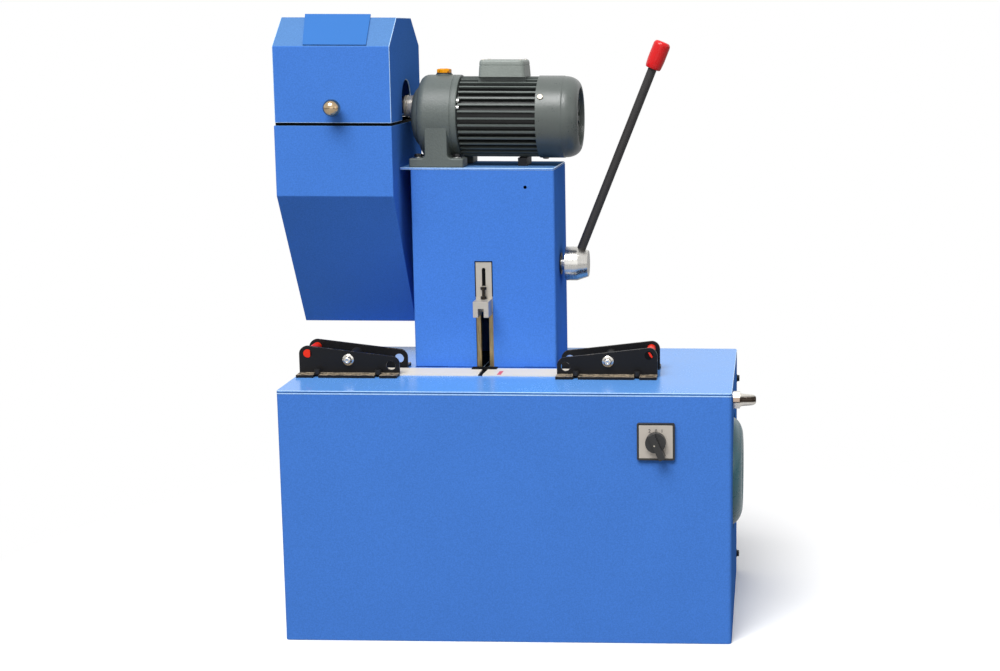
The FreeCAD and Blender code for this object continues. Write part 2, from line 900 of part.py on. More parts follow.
def lever_handle():
    """Black rod with its red cap, two solids."""
    start = size("shaft_radius") + 3
    end = size("rod_length")
    rod = lever_rod_bar("rod_bar", size("rod_radius"), start, end - start)
    radius = size("grip_radius")
    length = size("grip_length")
    grip = new_body("rod_grip")
    revolve(grip, [(0, 0), (0, radius), (length * 0.8, radius), (length, radius * 0.5), (length, 0)])
    turn = FreeCAD.Rotation(FreeCAD.Vector(0, 1, 0), SIZES["rod_lean"] - 90)
    place(grip, rod_x + sine(lean) * end, lever_y, lever_z + cosine(lean) * end, turn)
    return keep(compound("lever_handle", rod, grip))


# Hose brackets

def hose_bracket(name, side, row):
    """One angle plate: side is -1 left or 1 right of the blade, row 0 at the front or 1 at the rear."""
    plate = size("bracket_plate")
    front = bracket_rows()[row]
    inner = cut_x + size("bracket_inner") * side
    outer = cut_x + size("bracket_outer") * side
    body = new_body(name + "_angle")
    corners = [
        (inner, table), (outer, table), (outer, table + size("bracket_outer_high")),
        (inner, table + size("bracket_inner_high")),
    ]
    pad(body, outline(body, "XZ_Plane", corners, -(front + plate)), plate)
    top_corner = lambda e: along(e, "y") and e.CenterOfMass.z > SIZES["cabinet_height"] + 10
    round_edges(body, top_corner, size("bracket_corner") - 0.5)
    foot = size("bracket_foot")
    foot_front = front - foot if row == 0 else front
    foot_rear = front + plate if row == 0 else front + plate + foot
    pad(body, outline(body, "XY_Plane", rectangle(inner, foot_front, outer, foot_rear), table), plate)
    corner = size("bracket_corner")
    rod_hole = bar(name + "_rod_hole", size("open_hole_radius"), plate + 2,
                   cut_x + (size("bracket_inner") + corner) * side, front - 1,
                   table + size("bracket_inner_high") - corner, ALONG_Y)
    tools = [rod_hole]
    notch = size("bracket_notch")
    depth = foot / 2 + notch / 2
    notch_y = foot_front - 1 if row == 0 else foot_rear - depth
    for n, reach in enumerate(foot_screw_reaches()):
        x = cut_x + reach * side
        tools.append(block(f"{name}_notch_{n}", notch, depth + 1, plate + 2, x - notch / 2, notch_y,
                           table - 1))
    return cut(name, body, *tools)


def hose_brackets():
    """Four angle plates, a front and a rear one on each side of the blade."""
    plates = []
    for side, side_name in ((-1, "left"), (1, "right")):
        for row, row_name in enumerate(("front", "rear")):
            plates.append(hose_bracket(f"bracket_{side_name}_{row_name}", side, row))
    return keep(fuse("hose_brackets", *plates))


def cross_bolts():
    """Bright caps and nuts of the roller pins on the outer faces of each bracket pair."""
    front, rear = bracket_rows()
    radius = size("cross_bolt_radius")
    z = table + size("cross_bolt_high")
    ends = []
    for side in (-1, 1):
        name = "bolt_left" if side < 0 else "bolt_right"
        x = cut_x + size("cross_bolt_reach") * side
        ends.append(bar(name + "_cap", radius * 2, 10, x, front, z, TOWARD_FRONT))
        ends.append(hexagon(name + "_nut", radius * 3.2, 8, x, rear + size("bracket_plate"), z, ALONG_Y))
    return keep(fuse("cross_bolts", *ends))


def tie_rods():
    """Red rods between the outer corners of each bracket pair."""
    front, rear = bracket_rows()
    corner = size("bracket_corner")
    start = front + size("bracket_plate")
    rods = []
    for side in (-1, 1):
        x = cut_x + (size("bracket_outer") - corner) * side
        rods.append(bar("tie_left" if side < 0 else "tie_right", size("tie_rod_radius"), rear - start, x,
                        start, table + size("bracket_outer_high") - corner, ALONG_Y))
    return keep(fuse("tie_rods", *rods))


def hose_roller(name, side):
    """Roller between the two plates, on the line of the cross bolt."""
    front, rear = bracket_rows()
    start = front + size("bracket_plate") + gap
    x = cut_x + size("cross_bolt_reach") * side
    z = table + size("cross_bolt_high")
    length = size("bracket_gap") - gap * 2
    return keep(bar(name, size("roller_radius"), length, x, start, z, ALONG_Y))


# Skiving guard

hinge_y = guard_rear + size("hinge_radius")
hinge_z = (box_top + lid_bottom) / 2


def hose_opening(name, depth):
    """Round tool for the hose opening in the guard's left wall."""
    return bar(name, size("hose_hole_radius"), depth, guard_left - 1, motor_y, spindle_z, ALONG_X)


def guard_box():
    """Lower guard: open top, front wall folded back to a chute, standoffs to the column."""
    wall = size("guard_wall")
    top = box_top
    fold = spindle_z - size("guard_fold_drop")
    bottom = spindle_z - size("guard_bottom_drop")
    body = new_body("guard_hopper")
    chute_y = guard_rear - size("chute_depth")
    corners = [(guard_front, top), (guard_front, fold), (chute_y, bottom), (guard_rear, bottom),
               (guard_rear, top)]
    pad(body, outline(body, "YZ_Plane", corners, guard_left), size("guard_width"))
    open_face = lambda f: (near(f.BoundBox.ZMin, top) or near(f.BoundBox.ZMax, bottom))
    hollow(body, open_face, wall)
    trimmed = cut("guard_hopper_trimmed", body, hose_opening("hopper_hose_hole", wall + 2))
    reach = column_left - guard_right
    upper = block("standoff_upper", reach, 40, 28, guard_right, column_rear - 60, cap_bottom - 32)
    lower = block("standoff_lower", reach, 40, 28, guard_right, column_rear - 60, bottom + 20)
    return keep(fuse("guard_box", trimmed, upper, lower))


def guard_lid():
    """Lid with sloped front and rear, the spindle arch and the hose opening."""
    wall = size("guard_wall")
    low = lid_bottom
    high = lid_front_top
    top = lid_top
    slope = size("lid_slope")
    width = size("guard_width") - 2
    left = guard_left + 2
    body = new_body("lid_folded")
    corners = [
        (guard_front, low), (guard_rear, low), (guard_rear, high), (guard_rear - slope, top),
        (guard_front + slope, top), (guard_front, high),
    ]
    pad(body, outline(body, "YZ_Plane", corners, left), width)
    round_edges(body, lambda e: along(e, "x") and e.CenterOfMass.z > low.number + 1, 3)
    hollow(body, lambda f: near(f.BoundBox.ZMax, low), wall)
    half = size("arch_half")
    arch_z = spindle_z + size("arch_rise") - half
    arch_x = guard_right - wall - 2
    hole = size("hose_hole_radius")
    deep = wall + 4
    return keep(cut(
        "guard_lid", body,
        block("lid_arch", deep, half * 2, arch_z - low + 1, arch_x, motor_y - half, low - 1),
        bar("lid_arch_round", half, deep, arch_x, motor_y, arch_z, ALONG_X),
        block("lid_hose_slot", deep, hole * 2, spindle_z - low + 1, guard_left, motor_y - hole, low - 1),
        hose_opening("lid_hose_hole", deep),
    ))


def lid_plate():
    """Bare raised plate that lies on the lid's front slope and stands past its upper edge."""
    rise = lid_top - lid_front_top
    run = size("lid_slope")
    slant = square_root(rise * rise + run * run)
    along_y = run / slant
    along_z = rise / slant
    length = size("lid_plate_length")
    thick = size("lid_plate_thick")
    start_y = guard_front + along_y * 2
    start_z = lid_front_top + along_z * 2
    end_y = start_y + along_y * length
    end_z = start_z + along_z * length
    body = new_body("lid_plate")
    corners = [
        (start_y, start_z), (end_y, end_z),
        (end_y - along_z * thick, end_z + along_y * thick),
        (start_y - along_z * thick, start_z + along_y * thick),
    ]
    left = guard_right - size("lid_plate_inset") - size("lid_plate_width")
    pad(body, outline(body, "YZ_Plane", corners, left), size("lid_plate_width"))
    return keep(body)


def lid_knob():
    """Ball knob on a short neck, turned about the line that stands out from the lid's front."""
    radius = size("knob_radius")
    middle = radius + size("knob_neck") - 1
    ball = new_body("knob_turned")
    revolve(ball, [
        (0, 0), (0, radius * 0.55), (middle - radius * 0.835, radius * 0.55),
        (middle - radius * 0.33, radius * 0.96), (middle + radius * 0.33, radius * 0.96),
        (middle + radius * 0.85, radius * 0.55), (middle + radius * 0.85, 0),
    ])
    x = guard_right - size("knob_inset")
    z = lid_bottom + size("knob_high")
    return place(ball, x, guard_front, z, FreeCAD.Rotation(FreeCAD.Vector(0, 0, 1), -90))


def lid_fittings():
    """Knob at the front of the lid and hinge leaf at its rear."""
    return keep(fuse("lid_fittings", lid_knob(), lid_hinge_leaf()))


def hinge_left():
    """Left end of the hinge at the middle of the guard's rear."""
    return guard_left + (size("guard_width") - size("hinge_width")) / 2


def guard_hinge_base():
    """Fixed hinge leaf with its knuckle on the left half and the pin through both halves."""
    radius = size("hinge_radius")
    width = size("hinge_width")
    leaf = size("hinge_leaf")
    half = width / 2 - gap
    x = hinge_left()
    return keep(fuse(
        "guard_hinge_base",
        block("hinge_base_leaf", width, 1.5, leaf, x, guard_rear, hinge_z - radius - 1 - leaf),
        block("hinge_base_web", half, 1.5, radius + 2, x, guard_rear, hinge_z - radius - 2),
        bar("hinge_base_knuckle", radius, half, x, hinge_y, hinge_z, ALONG_X),
        bar("hinge_pin", radius / 2, width, x, hinge_y, hinge_z, ALONG_X),
    ))


def lid_hinge_leaf():
    """Hinge leaf on the lid's rear wall with the knuckle on the right half."""
    radius = size("hinge_radius")
    width = size("hinge_width")
    leaf = size("hinge_leaf")
    half = width / 2 - gap
    x = hinge_left()
    start = x + width / 2 + gap
    plate = block("hinge_lid_leaf", width, 1.5, leaf, x, guard_rear, hinge_z + radius + 1)
    web = block("hinge_lid_web", half, 1.5, radius + 2, start, guard_rear, hinge_z)
    knuckle = bar("hinge_lid_knuckle", radius, half, start, hinge_y, hinge_z, ALONG_X)
    bore = bar("hinge_lid_bore", radius / 2 + fit, half + 2, start - 1, hinge_y, hinge_z, ALONG_X)
    return cut("hinge_lid_half", fuse("hinge_lid_solid", plate, web, knuckle), bore)


# Gearmotor

housing_left = size("housing_left")
housing_right = housing_left + size("housing_length")
frame_right = housing_right + size("frame_length")
frame_radius = size("cowl_radius") - size("cowl_wall") - 0.2
plug_seat = motor_z + size("housing_radius") + 1.5
foot_left = size("foot_centre") - size("foot_width") / 2


def gear_housing():
    """Cast housing: barrel, neck and foot, with the boss of the breather plug."""
    radius = size("housing_radius")
    length = size("housing_length")
    body = new_body("housing_cast")
    revolve(body, [(0, 0), (0, radius), (length, radius), (length, 0)])
    foot_x = foot_left - housing_left
    half = size("foot_depth") / 2
    bottom = -size("motor_height")
    thick = size("foot_thick")
    foot = rectangle(foot_x, -half, foot_x + size("foot_width"), half)
    pad(body, outline(body, "XY_Plane", foot, bottom), thick)
    bevel_edges(body, lambda e: along(e, "z") and near(e.BoundBox.ZMin, bottom), 4)
    neck_x = foot_x + size("foot_width") / 2 - size("neck_width") / 2 - 4
    neck = rectangle(neck_x, -half + 2, neck_x + size("neck_width"), half - 2)
    pad(body, outline(body, "XY_Plane", neck, bottom + thick), size("motor_height") - thick - 6)
    neck_sides = (neck_x, neck_x + size("neck_width"))
    at_neck = lambda e: any(near(e.CenterOfMass.x, x) for x in neck_sides)
    round_edges(body, lambda e: along(e, "y") and at_neck(e) and near(e.CenterOfMass.z, bottom + thick), 7)
    place(body, housing_left, motor_y, motor_z)
    boss = bar("housing_plug_boss", 15, 20, housing_left + 60, motor_y, motor_z + radius - 18.5)
    bore = bar("housing_bore", size("spindle_radius") + fit, 34, housing_left - 4, motor_y, spindle_z,
               ALONG_X)
    return keep(cut("gear_housing", fuse("housing_solid", body, boss), bore))


def breather_plug():
    """Amber plug on the housing's boss."""
    return keep(bar("breather_plug", 12.5, 9.5, housing_left + 60, motor_y, plug_seat))


def finned_frame(name, core, radius, length, fin_thick, fins):
    """A motor frame about X: a core with flat valleys and long cooling fins all round."""
    body = new_body(name)
    sides = int(sheet_number("core_sides"))
    reach = core / math.cos(math.pi / sides)
    angles = [2 * math.pi * (n + 0.5) / sides for n in range(sides)]
    corners = [(reach * math.cos(a), reach * math.sin(a)) for a in angles]
    pad(body, outline(body, "YZ_Plane", corners), length)
    inset = as_size(2)
    sketch = outline(body, "YZ_Plane", rectangle(-fin_thick / 2, core - 2, fin_thick / 2, radius), inset)
    fin = pad(body, sketch, length - inset * 2)
    polar(body, fin, sketch, fins)
    return body


def motor_frame():
    """Finned frame with the seat of the terminal box, relieved over the housing's foot."""
    length = size("frame_length") + size("cowl_overlap")
    body = finned_frame("frame_fins", size("frame_core"), frame_radius, length, size("fin_thick"),
                        size("fin_count"))
    place(body, housing_right, motor_y, motor_z)
    seat = block("frame_seat", 84, 60, 20, housing_right + 34, motor_y - 30, motor_z + frame_radius - 20)
    foot_right = foot_left + size("foot_width")
    foot_top = column_top + size("foot_thick") + gap
    relief = block("frame_relief", foot_right + gap - housing_right + 1, 60, 12, housing_right - 1,
                   motor_y - 30, foot_top - 12)
    return keep(cut("motor_frame", fuse("frame_solid", body, seat), relief))


def terminal_box():
    """Terminal box with an overhanging lid that has rounded corners."""
    base = motor_z + frame_radius
    height = size("box_height")
    width = size("box_width")
    depth = size("box_depth")
    left = housing_right + 30
    body = new_body("terminal_box")
    lower = rectangle(left + 3, motor_y - depth / 2 + 3, left + width - 3, motor_y + depth / 2 - 3)
    pad(body, outline(body, "XY_Plane", lower, base), height - 9)
    upper = rectangle(left, motor_y - depth / 2, left + width, motor_y + depth / 2)
    pad(body, outline(body, "XY_Plane", upper, base + height - 9), 9)
    at_lid = lambda e: along(e, "z") and near(e.BoundBox.ZMax, base + height)
    round_edges(body, at_lid, 7)
    return keep(body)


def end_cowl(name, radius, length, rounding):
    """A pressed cowl about X: straight skirt, turned-in end and a ring of air slots."""
    body = new_body(name)
    wall = size("cowl_wall")
    end = radius - rounding * 0.85
    shoulder = length - rounding
    revolve(body, [
        (0, radius - wall), (0, radius), (shoulder, radius), (length, end), (length, 0),
        (shoulder, 0), (shoulder, radius - wall),
    ])
    sketch = outline(body, "YZ_Plane", rectangle(-2.4, radius * 0.26, 2.4, end - 6), length + 1)
    slot = pocket(body, sketch, rounding + 2)
    polar(body, slot, sketch, size("cowl_slots"))
    return body


def fan_cowl():
    """Cowl over the gearmotor's fan."""
    body = end_cowl("fan_cowl", size("cowl_radius"), size("cowl_length"), size("cowl_round"))
    return keep(place(body, frame_right, motor_y, motor_z))


def motor_rest():
    """Rubber block under the motor frame."""
    height = size("motor_height") - frame_radius
    return keep(block("motor_rest", 16, 60, height, frame_right - 30, motor_y - 30, column_top))


def fan(name, shaft, length, radius, start, width, blades):
    """A radial fan about X: straight blades on a stub of the motor's shaft."""
    body = new_body(name)
    revolve(body, [(0, 0), (0, shaft), (length, shaft), (length, 0)])
    sketch = outline(body, "YZ_Plane", rectangle(-1.2, shaft - 2, 1.2, radius), start)
    blade = pad(body, sketch, width)
    polar(body, blade, sketch, as_size(blades))
    return body


def gearmotor_rotor():
    """End of the motor's shaft with the fan that turns inside the cowl."""
    start = size("cowl_overlap") + gap
    wheel = fan("gearmotor_rotor", as_size(12), as_size(40), size("cowl_radius") - 16, as_size(12),
                as_size(22), 7)
    return keep(place(wheel, frame_right + start, motor_y, motor_z))


# Skiving spindle

head_x = housing_left - 78


def skiving_head():
    """Head turned in one piece with its shaft and the centring mandrel, with a slot for the tool holder."""
    radius = size("head_radius")
    thick = size("head_thick")
    shaft = size("spindle_radius")
    reach = size("mandrel_reach")
    end = housing_left + 29 - head_x + thick + reach
    body = new_body("head_turned")
    revolve(body, [(0, 0), (0, 8), (reach, 8), (reach, radius), (reach + thick, radius),
                   (reach + thick, shaft), (end, shaft), (end, 0)])
    place(body, head_x - thick - reach, motor_y, spindle_z)
    face = head_x - thick
    slots = [block(f"head_slot_{n}", 7, 18, radius, face - 1, motor_y - 9, z)
             for n, z in enumerate((spindle_z + 11, spindle_z - 11 - radius))]
    return keep(cut("skiving_head", body, *slots))


def tool_holder():
    """Holder that sits in the head's slot, with the skiving knife at its inner end."""
    face = head_x - size("head_thick") + 5
    base = block("holder_base", 5, 17.6, 40, face - 5, motor_y - 8.8, spindle_z + 14)
    post = block("holder_post", 34, 17.6, 18, face - 38, motor_y - 8.8, spindle_z + 26)
    knife = block("holder_knife", 22, 3, 16, face - 38, motor_y - 1.5, spindle_z + 12)
    return keep(fuse("tool_holder", base, post, knife))


# Cutting motor and blade arbor

cutter_end = cabinet_right + size("cutter_reach")
cutter_cowl_left = cutter_end - size("cutter_cowl_length")
cutter_left = cutter_cowl_left - size("cutter_length")
cutter_radius = size("cutter_cowl_radius") - size("cowl_wall") - 0.2
case_left = cutter_left - size("case_width")
housing_face = cut_x + 16


def cutting_motor_frame():
    """Finned frame of the cutting motor with its feet."""
    length = size("cutter_length")
    body = finned_frame("cutter_fins_body", size("cutter_core"), cutter_radius, length + size("cowl_overlap"),
                        as_size(4), size("cutter_fins"))
    place(body, cutter_left, cutter_y, cutter_z)
    feet = block("cutter_feet", length - 80, 150, 40, cutter_left + 40, cutter_y - 75,
                 cutter_z - size("cutter_foot_drop"))
    return keep(fuse("cutting_motor_frame", body, feet))


def cutting_motor_cowl():
    """Rounded fan cowl that stands out through the cabinet's right wall."""
    body = end_cowl("cutting_motor_cowl", size("cutter_cowl_radius"), size("cutter_cowl_length"),
                    size("cutter_cowl_round"))
    return keep(place(body, cutter_cowl_left, cutter_y, cutter_z))


def motor_base():
    """Folded bridge that carries the cutting motor above the floor."""
    top = cutter_z - size("cutter_foot_drop")
    sheet_thick = as_size(6)
    floor = size("wall")
    body = new_body("motor_base")
    half = as_size(85)
    corners = [
        (cutter_y - half, floor), (cutter_y - half + sheet_thick, floor),
        (cutter_y - half + sheet_thick, top - sheet_thick),
        (cutter_y + half - sheet_thick, top - sheet_thick),
        (cutter_y + half - sheet_thick, floor), (cutter_y + half, floor), (cutter_y + half, top),
        (cutter_y - half, top),
    ]
    pad(body, outline(body, "YZ_Plane", corners, cutter_left + 30), size("cutter_length") - 60)
    return keep(body)


def cutting_rotor():
    """End of the motor's shaft with the fan that turns inside the cowl."""
    start = size("cowl_overlap") + gap
    wheel = fan("cutting_rotor", as_size(14), as_size(40), size("cutter_cowl_radius") - 22, as_size(12),
                as_size(24), 8)
    return keep(place(wheel, cutter_cowl_left + start, cutter_y, cutter_z))


def arbor_shaft():
    """Blade arbor with its hexagonal clamping collar and nut."""
    side = size("blade_thick") / 2
    start = cut_x - 26
    return fuse(
        "arbor_turned",
        hexagon("arbor_collar", as_size(50), 8, cut_x + side, arbor_y, arbor_z, ALONG_X),
        hexagon("arbor_nut", as_size(41), 18, cut_x - side - 18, arbor_y, arbor_z, ALONG_X),
        bar("arbor_bar", size("arbor_radius"), housing_face + 39 - start, start, arbor_y, arbor_z, ALONG_X),
    )


def saw_blade():
    """Round hose-cutting blade with a plain edge."""
    radius = size("blade_radius")
    thick = size("blade_thick")
    bore = size("arbor_radius")
    body = new_body("blade_disc")
    revolve(body, [(0, bore), (0, radius), (thick, radius), (thick, bore)])
    return place(body, cut_x - thick / 2, arbor_y, arbor_z)


def blade_arbor():
    """The arbor with the blade clamped on it, two solids."""
    return keep(compound("blade_arbor", arbor_shaft(), saw_blade()))


def arbor_housing():
    """Bearing block that hangs from the table beside the blade and carries the drive case."""
    low = arbor_z - 32
    hanger = block("arbor_hanger", case_left - housing_face, 70, shell_top - low, housing_face,
                   arbor_y - 35, low)
    bore = bar("arbor_bore", size("arbor_radius") + fit, 41, housing_face - 1, arbor_y, arbor_z, ALONG_X)
    return keep(cut("arbor_housing", hanger, bore))


def drive_case():
    """Closed case of the belt drive between the cutting motor and the blade's arbor."""
    dy = arbor_y - cutter_y
    dz = arbor_z - cutter_z
    distance = square_root(dy * dy + dz * dz)
    turned = Size(math.degrees(math.atan2(dz.number, dy.number)), f"atan2({dz.formula}; {dy.formula})")
    edge = size("case_margin")
    bevel = edge * 0.45
    corners = [
        (-edge, -bevel), (-bevel, -edge), (distance + bevel, -edge), (distance + edge, -bevel),
        (distance + edge, bevel), (distance + bevel, edge), (-bevel, edge), (-edge, bevel),
    ]
    body = new_body("drive_case")
    pad(body, outline(body, "YZ_Plane", corners), size("case_width"))
    place(body, case_left, cutter_y, cutter_z, FreeCAD.Rotation(FreeCAD.Vector(1, 0, 0), turned.number))
    bind(body, "Placement.Rotation.Angle", turned)
    return keep(body)


# Switch and air nipple

def switch_plate():
    """Square switch plate with a raised rim, its neck through the panel and the cam body behind."""
    side = size("switch_side")
    thick = size("switch_thick")
    neck = size("switch_neck")
    cam = size("switch_cam")
    x = size("switch_offset")
    z = size("switch_height")
    body = new_body("switch_front")
    corners = rectangle(x - side / 2, z - side / 2, x + side / 2, z + side / 2)
    pad(body, outline(body, "XZ_Plane", corners, -cabinet_front), thick)
    bevel_edges(body, lambda e: along(e, "y"), 2)
    face = block("switch_face", side - 4, 1.2, side - 4, x - side / 2 + 2, cabinet_front - thick - 0.4,
                 z - side / 2 + 2)
    behind = cabinet_front + size("wall")
    return keep(cut(
        "switch_plate",
        fuse("switch_solid", body,
             block("switch_neck_bar", neck, size("wall") + 2, neck, x - neck / 2, cabinet_front - 1,
                   z - neck / 2),
             block("switch_cam_body", cam, cam - 4, cam, x - cam / 2, behind, z - cam / 2)),
        face,
    ))


def switch_knob():
    """Round knob with a bar handle, turned to the left-hand mark."""
    depth = size("switch_knob_depth")
    length = size("switch_bar_length")
    width = size("switch_bar_width")
    seat = cabinet_front - size("switch_thick") + 0.8 - gap
    x = size("switch_offset")
    z = size("switch_height")
    handle = new_body("switch_handle")
    low = -length * 0.63
    corners = rectangle(-width / 2, low, width / 2, low + length)
    pad(handle, outline(handle, "XZ_Plane", corners), depth + 9)
    bevel_edges(handle, lambda e: along(e, "y"), 2)
    lean_back = -size("switch_lean")
    turn = FreeCAD.Rotation(FreeCAD.Vector(0, 1, 0), lean_back.number)
    place(handle, x, seat, z, turn)
    disc = bar("switch_disc", size("switch_knob_radius"), depth + 1, x, seat, z, TOWARD_FRONT)
    return keep(fuse("switch_knob", handle, disc))


def air_nipple():
    """Hexagonal air nipple with its stem, and its thread through the right wall."""
    y = cabinet_front + size("nipple_setback")
    z = table - size("nipple_drop")
    length = size("nipple_length")
    wall = size("wall")
    bore = bar("nipple_bore", 4, length + 30, cabinet_right - 20, y, z, ALONG_X)
    return keep(cut(
        "air_nipple",
        fuse("nipple_solid",
             hexagon("nipple_hex", size("nipple_flats"), 14, cabinet_right, y, z, ALONG_X),
             bar("nipple_stem", 9, length, cabinet_right, y, z, ALONG_X),
             bar("nipple_thread", 7, wall + 6, cabinet_right - wall - 6, y, z, ALONG_X)),
        bore,
    ))


def build():
    cabinet_shell()
    rear_cover()
    cover_posts()
    table_plate()
    wear_strip()
    throat_plate()
    column_shell()
    column_rear_cover()
    column_cap()
    guide_rails()
    slide_plate()
    jaw_block()
    jaw_carriage()
    slide_bolt()
    lever_bearings()
    lever_shaft()
    lever_handle()
    hose_brackets()
    hose_roller("hose_roller_left", -1)
    hose_roller("hose_roller_right", 1)
    cross_bolts()
    tie_rods()
    guard_box()
    guard_lid()
    lid_plate()
    guard_hinge_base()
    lid_fittings()
    gear_housing()
    breather_plug()
    motor_frame()
    terminal_box()
    fan_cowl()
    motor_rest()
    gearmotor_rotor()
    skiving_head()
    tool_holder()
    cutting_motor_frame()
    cutting_motor_cowl()
    motor_base()
    cutting_rotor()
    blade_arbor()
    arbor_housing()
    drive_case()
    switch_plate()
    switch_knob()
    air_nipple()


def check():
    """Stop on any object that failed and on any sub-part without a sound shape."""
    doc.recompute()
    for thing in doc.Objects:
        if "Invalid" in thing.State or "Error" in thing.State:
            raise ValueError(f"{thing.Name} failed: {thing.State}")
    for piece in pieces:
        if piece.Shape.isNull() or not piece.Shape.isValid():
            raise ValueError(f"{piece.Label} has no sound shape")


def write():
    os.makedirs("parts", exist_ok=True)
    for piece in pieces:
        piece.Shape.exportStep(os.path.join("parts", piece.Label + ".step"))


build()
check()
write()
print(len(pieces), "sub-parts written")
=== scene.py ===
"""Hose cutting and skiving machine: finishes, small fittings and a plain studio round the fixed CAD frame."""

import math

import bpy
import numpy as np
from mathutils import Matrix, Vector


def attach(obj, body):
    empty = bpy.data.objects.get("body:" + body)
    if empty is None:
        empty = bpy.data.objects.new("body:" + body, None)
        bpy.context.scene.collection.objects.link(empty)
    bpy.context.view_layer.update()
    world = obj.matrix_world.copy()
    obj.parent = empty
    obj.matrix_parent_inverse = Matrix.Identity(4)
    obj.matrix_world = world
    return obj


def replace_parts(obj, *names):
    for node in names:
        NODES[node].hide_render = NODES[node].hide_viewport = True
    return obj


bl_info = {
    "name": "Hose Cutting and Skiving Machine",
    "version": (1, 0, 0),
    "blender": (4, 5, 0),
    "location": "3D View > Sidebar > Hose Machine",
    "description": "Finishes and fittings of a workshop machine for hydraulic hose",
    "category": "Object",
}

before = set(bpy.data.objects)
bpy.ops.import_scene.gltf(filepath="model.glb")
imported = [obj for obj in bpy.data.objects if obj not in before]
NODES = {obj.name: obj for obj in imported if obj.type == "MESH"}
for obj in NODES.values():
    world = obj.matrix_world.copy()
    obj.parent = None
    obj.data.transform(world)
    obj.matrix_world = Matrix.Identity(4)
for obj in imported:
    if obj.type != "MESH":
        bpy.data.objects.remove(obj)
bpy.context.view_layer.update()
MM = 0.001

# Directions, and the two ways in which a flat outline stands: seen from the front, and in plan.
RIGHT, FORWARD, BACK, UP = (1, 0, 0), (0, -1, 0), (0, 1, 0), (0, 0, 1)
UPRIGHT, LEVEL = (RIGHT, UP), (RIGHT, BACK)

# Places in the CAD frame, in millimetres.
TABLE_TOP, FRONT_Y, SIDE_X = 440, -195, 385
CUT_X = -65
BRACKET_FRONT, BRACKET_FOOT = -69, 445
ROLLER_REACH, ROLLER_Z = 229, 468
TIE_ROD_REACH, TIE_ROD_Z = 301, 479
MOTOR_Y, MOTOR_Z, SPINDLE_Z = 80, 888, 906
HOUSING_LEFT, PLUG_X, BOX_X = -202, -142, -32.3
LID_X, LID_REAR = -315, 197
LEVER_Z = 620
SWITCH_X, SWITCH_Z = 257, 357.5


def screen(code):
    """Scene colour of a six-digit screen colour: the screen's curve undone on each channel."""
    rows = [int(code[i:i + 2], 16) / 255 for i in (0, 2, 4)]
    return tuple(c / 12.92 if c <= 0.04045 else ((c + 0.055) / 1.055) ** 2.4 for c in rows)


def colour_of(label, about, code):
    """Colour that a user can change, from its screen colour."""
    return bpy.props.FloatVectorProperty(name=label, description=about, subtype="COLOR", size=3, min=0, max=1,
                                         default=screen(code))


def length_of(label, about, millimetres):
    """Length that a user can change, from millimetres."""
    return bpy.props.FloatProperty(name=label, description=about, unit="LENGTH", min=0,
                                   default=millimetres * MM)


class MachineColours(bpy.types.PropertyGroup):
    """Paints and bare finishes of the machine."""

    powder: colour_of("Powder blue", "Powder coat of the cabinet, column and guard", "487DD2")
    # The table's paler blue stands in for the sheen on its top: painted sheen.
    table: colour_of("Table blue", "Powder coat of the table, polished by hoses", "5C96DC")
    # Paler, greyer blue on faces that look upwards: painted sheen, and dust.
    dusty: colour_of("Dusty blue", "Powder coat on slopes that face upwards", "567FB4")
    # Pale blue on the rounded folds: painted highlight.
    fold: colour_of("Fold blue", "Bright folds of the sheet metal", "B4D6FA")
    plate: colour_of("Plate blue", "Flat enamel of the raised plate on the guard's lid", "2468B2")
    casting: colour_of("Casting grey", "Paint of the gear housing and motor frame", "5A615E")
    box: colour_of("Terminal box grey", "Paint of the terminal box", "848B86")
    cowl: colour_of("Cowl grey", "Smooth paint of the gearmotor's fan cowl", "565C59")
    teal: colour_of("Motor teal", "Enamel of the cutting motor", "1F5F6B")
    steel: colour_of("Turned steel", "Lever hub, shafts and spindle", "C9C7C2")
    zinc: colour_of("Zinc plate", "Bolts, washers and hinge", "D2D3D0")
    aluminium: colour_of("Milled aluminium", "Jaw and slide plate", "BDB6AB")
    bronze: colour_of("Bronze rail", "Guide rails behind the window", "A08A60")
    oxide: colour_of("Black oxide", "Hose brackets and socket screws", "101012")
    worn: colour_of("Worn edge", "Rubbed tops of the bracket feet", "AC9C84")
    strip: colour_of("Wear strip", "White laminate strip in front of the jaw", "DED6C6")
    mark: colour_of("Cut mark", "Red mark across the wear strip", "D63C48")
    red: colour_of("Grip red", "Lever grip", "D00A10")
    sleeve: colour_of("Sleeve red", "Plastic sleeves of the tie rods", "E62A0C")
    rod: colour_of("Rod black", "Textured sleeve of the lever rod", "2E2C2C")
    amber: colour_of("Breather amber", "Plastic breather plug", "EC9A00")
    plastic: colour_of("Black plastic", "Switch body and knob", "1F1D1C")
    face: colour_of("Switch face", "Satin silver face of the switch", "C0B8AE")


class MachineSizes(bpy.types.PropertyGroup):
    """Sizes of the roundings and small fittings."""

    sheet_round: length_of("Sheet rounding", "Radius on the edges of the sheet-metal pieces", 1.6)
    casting_round: length_of("Casting rounding", "Radius on the edges of the castings", 2.2)
    block_round: length_of("Block rounding", "Broken edges of milled pieces", 0.5)
    screw_head: length_of("Screw head radius", "M8 socket screws on the bracket feet", 5.4)
    screw_rise: length_of("Screw head height", "M8 socket screws on the bracket feet", 8.0)
    knob_radius: length_of("Lid knob radius", "Ball knob of the guard's lid", 15.0)
    rod_radius: length_of("Lever rod radius", "Straight rod of the lever", 8.0)
    grip_radius: length_of("Grip radius", "Red grip of the lever", 15.5)
    cowl_radius: length_of("Fan cowl radius", "Gearmotor fan cowl", 74.0)
    motor_cowl_radius: length_of("Motor cowl radius", "Cutting-motor fan cowl", 97.5)


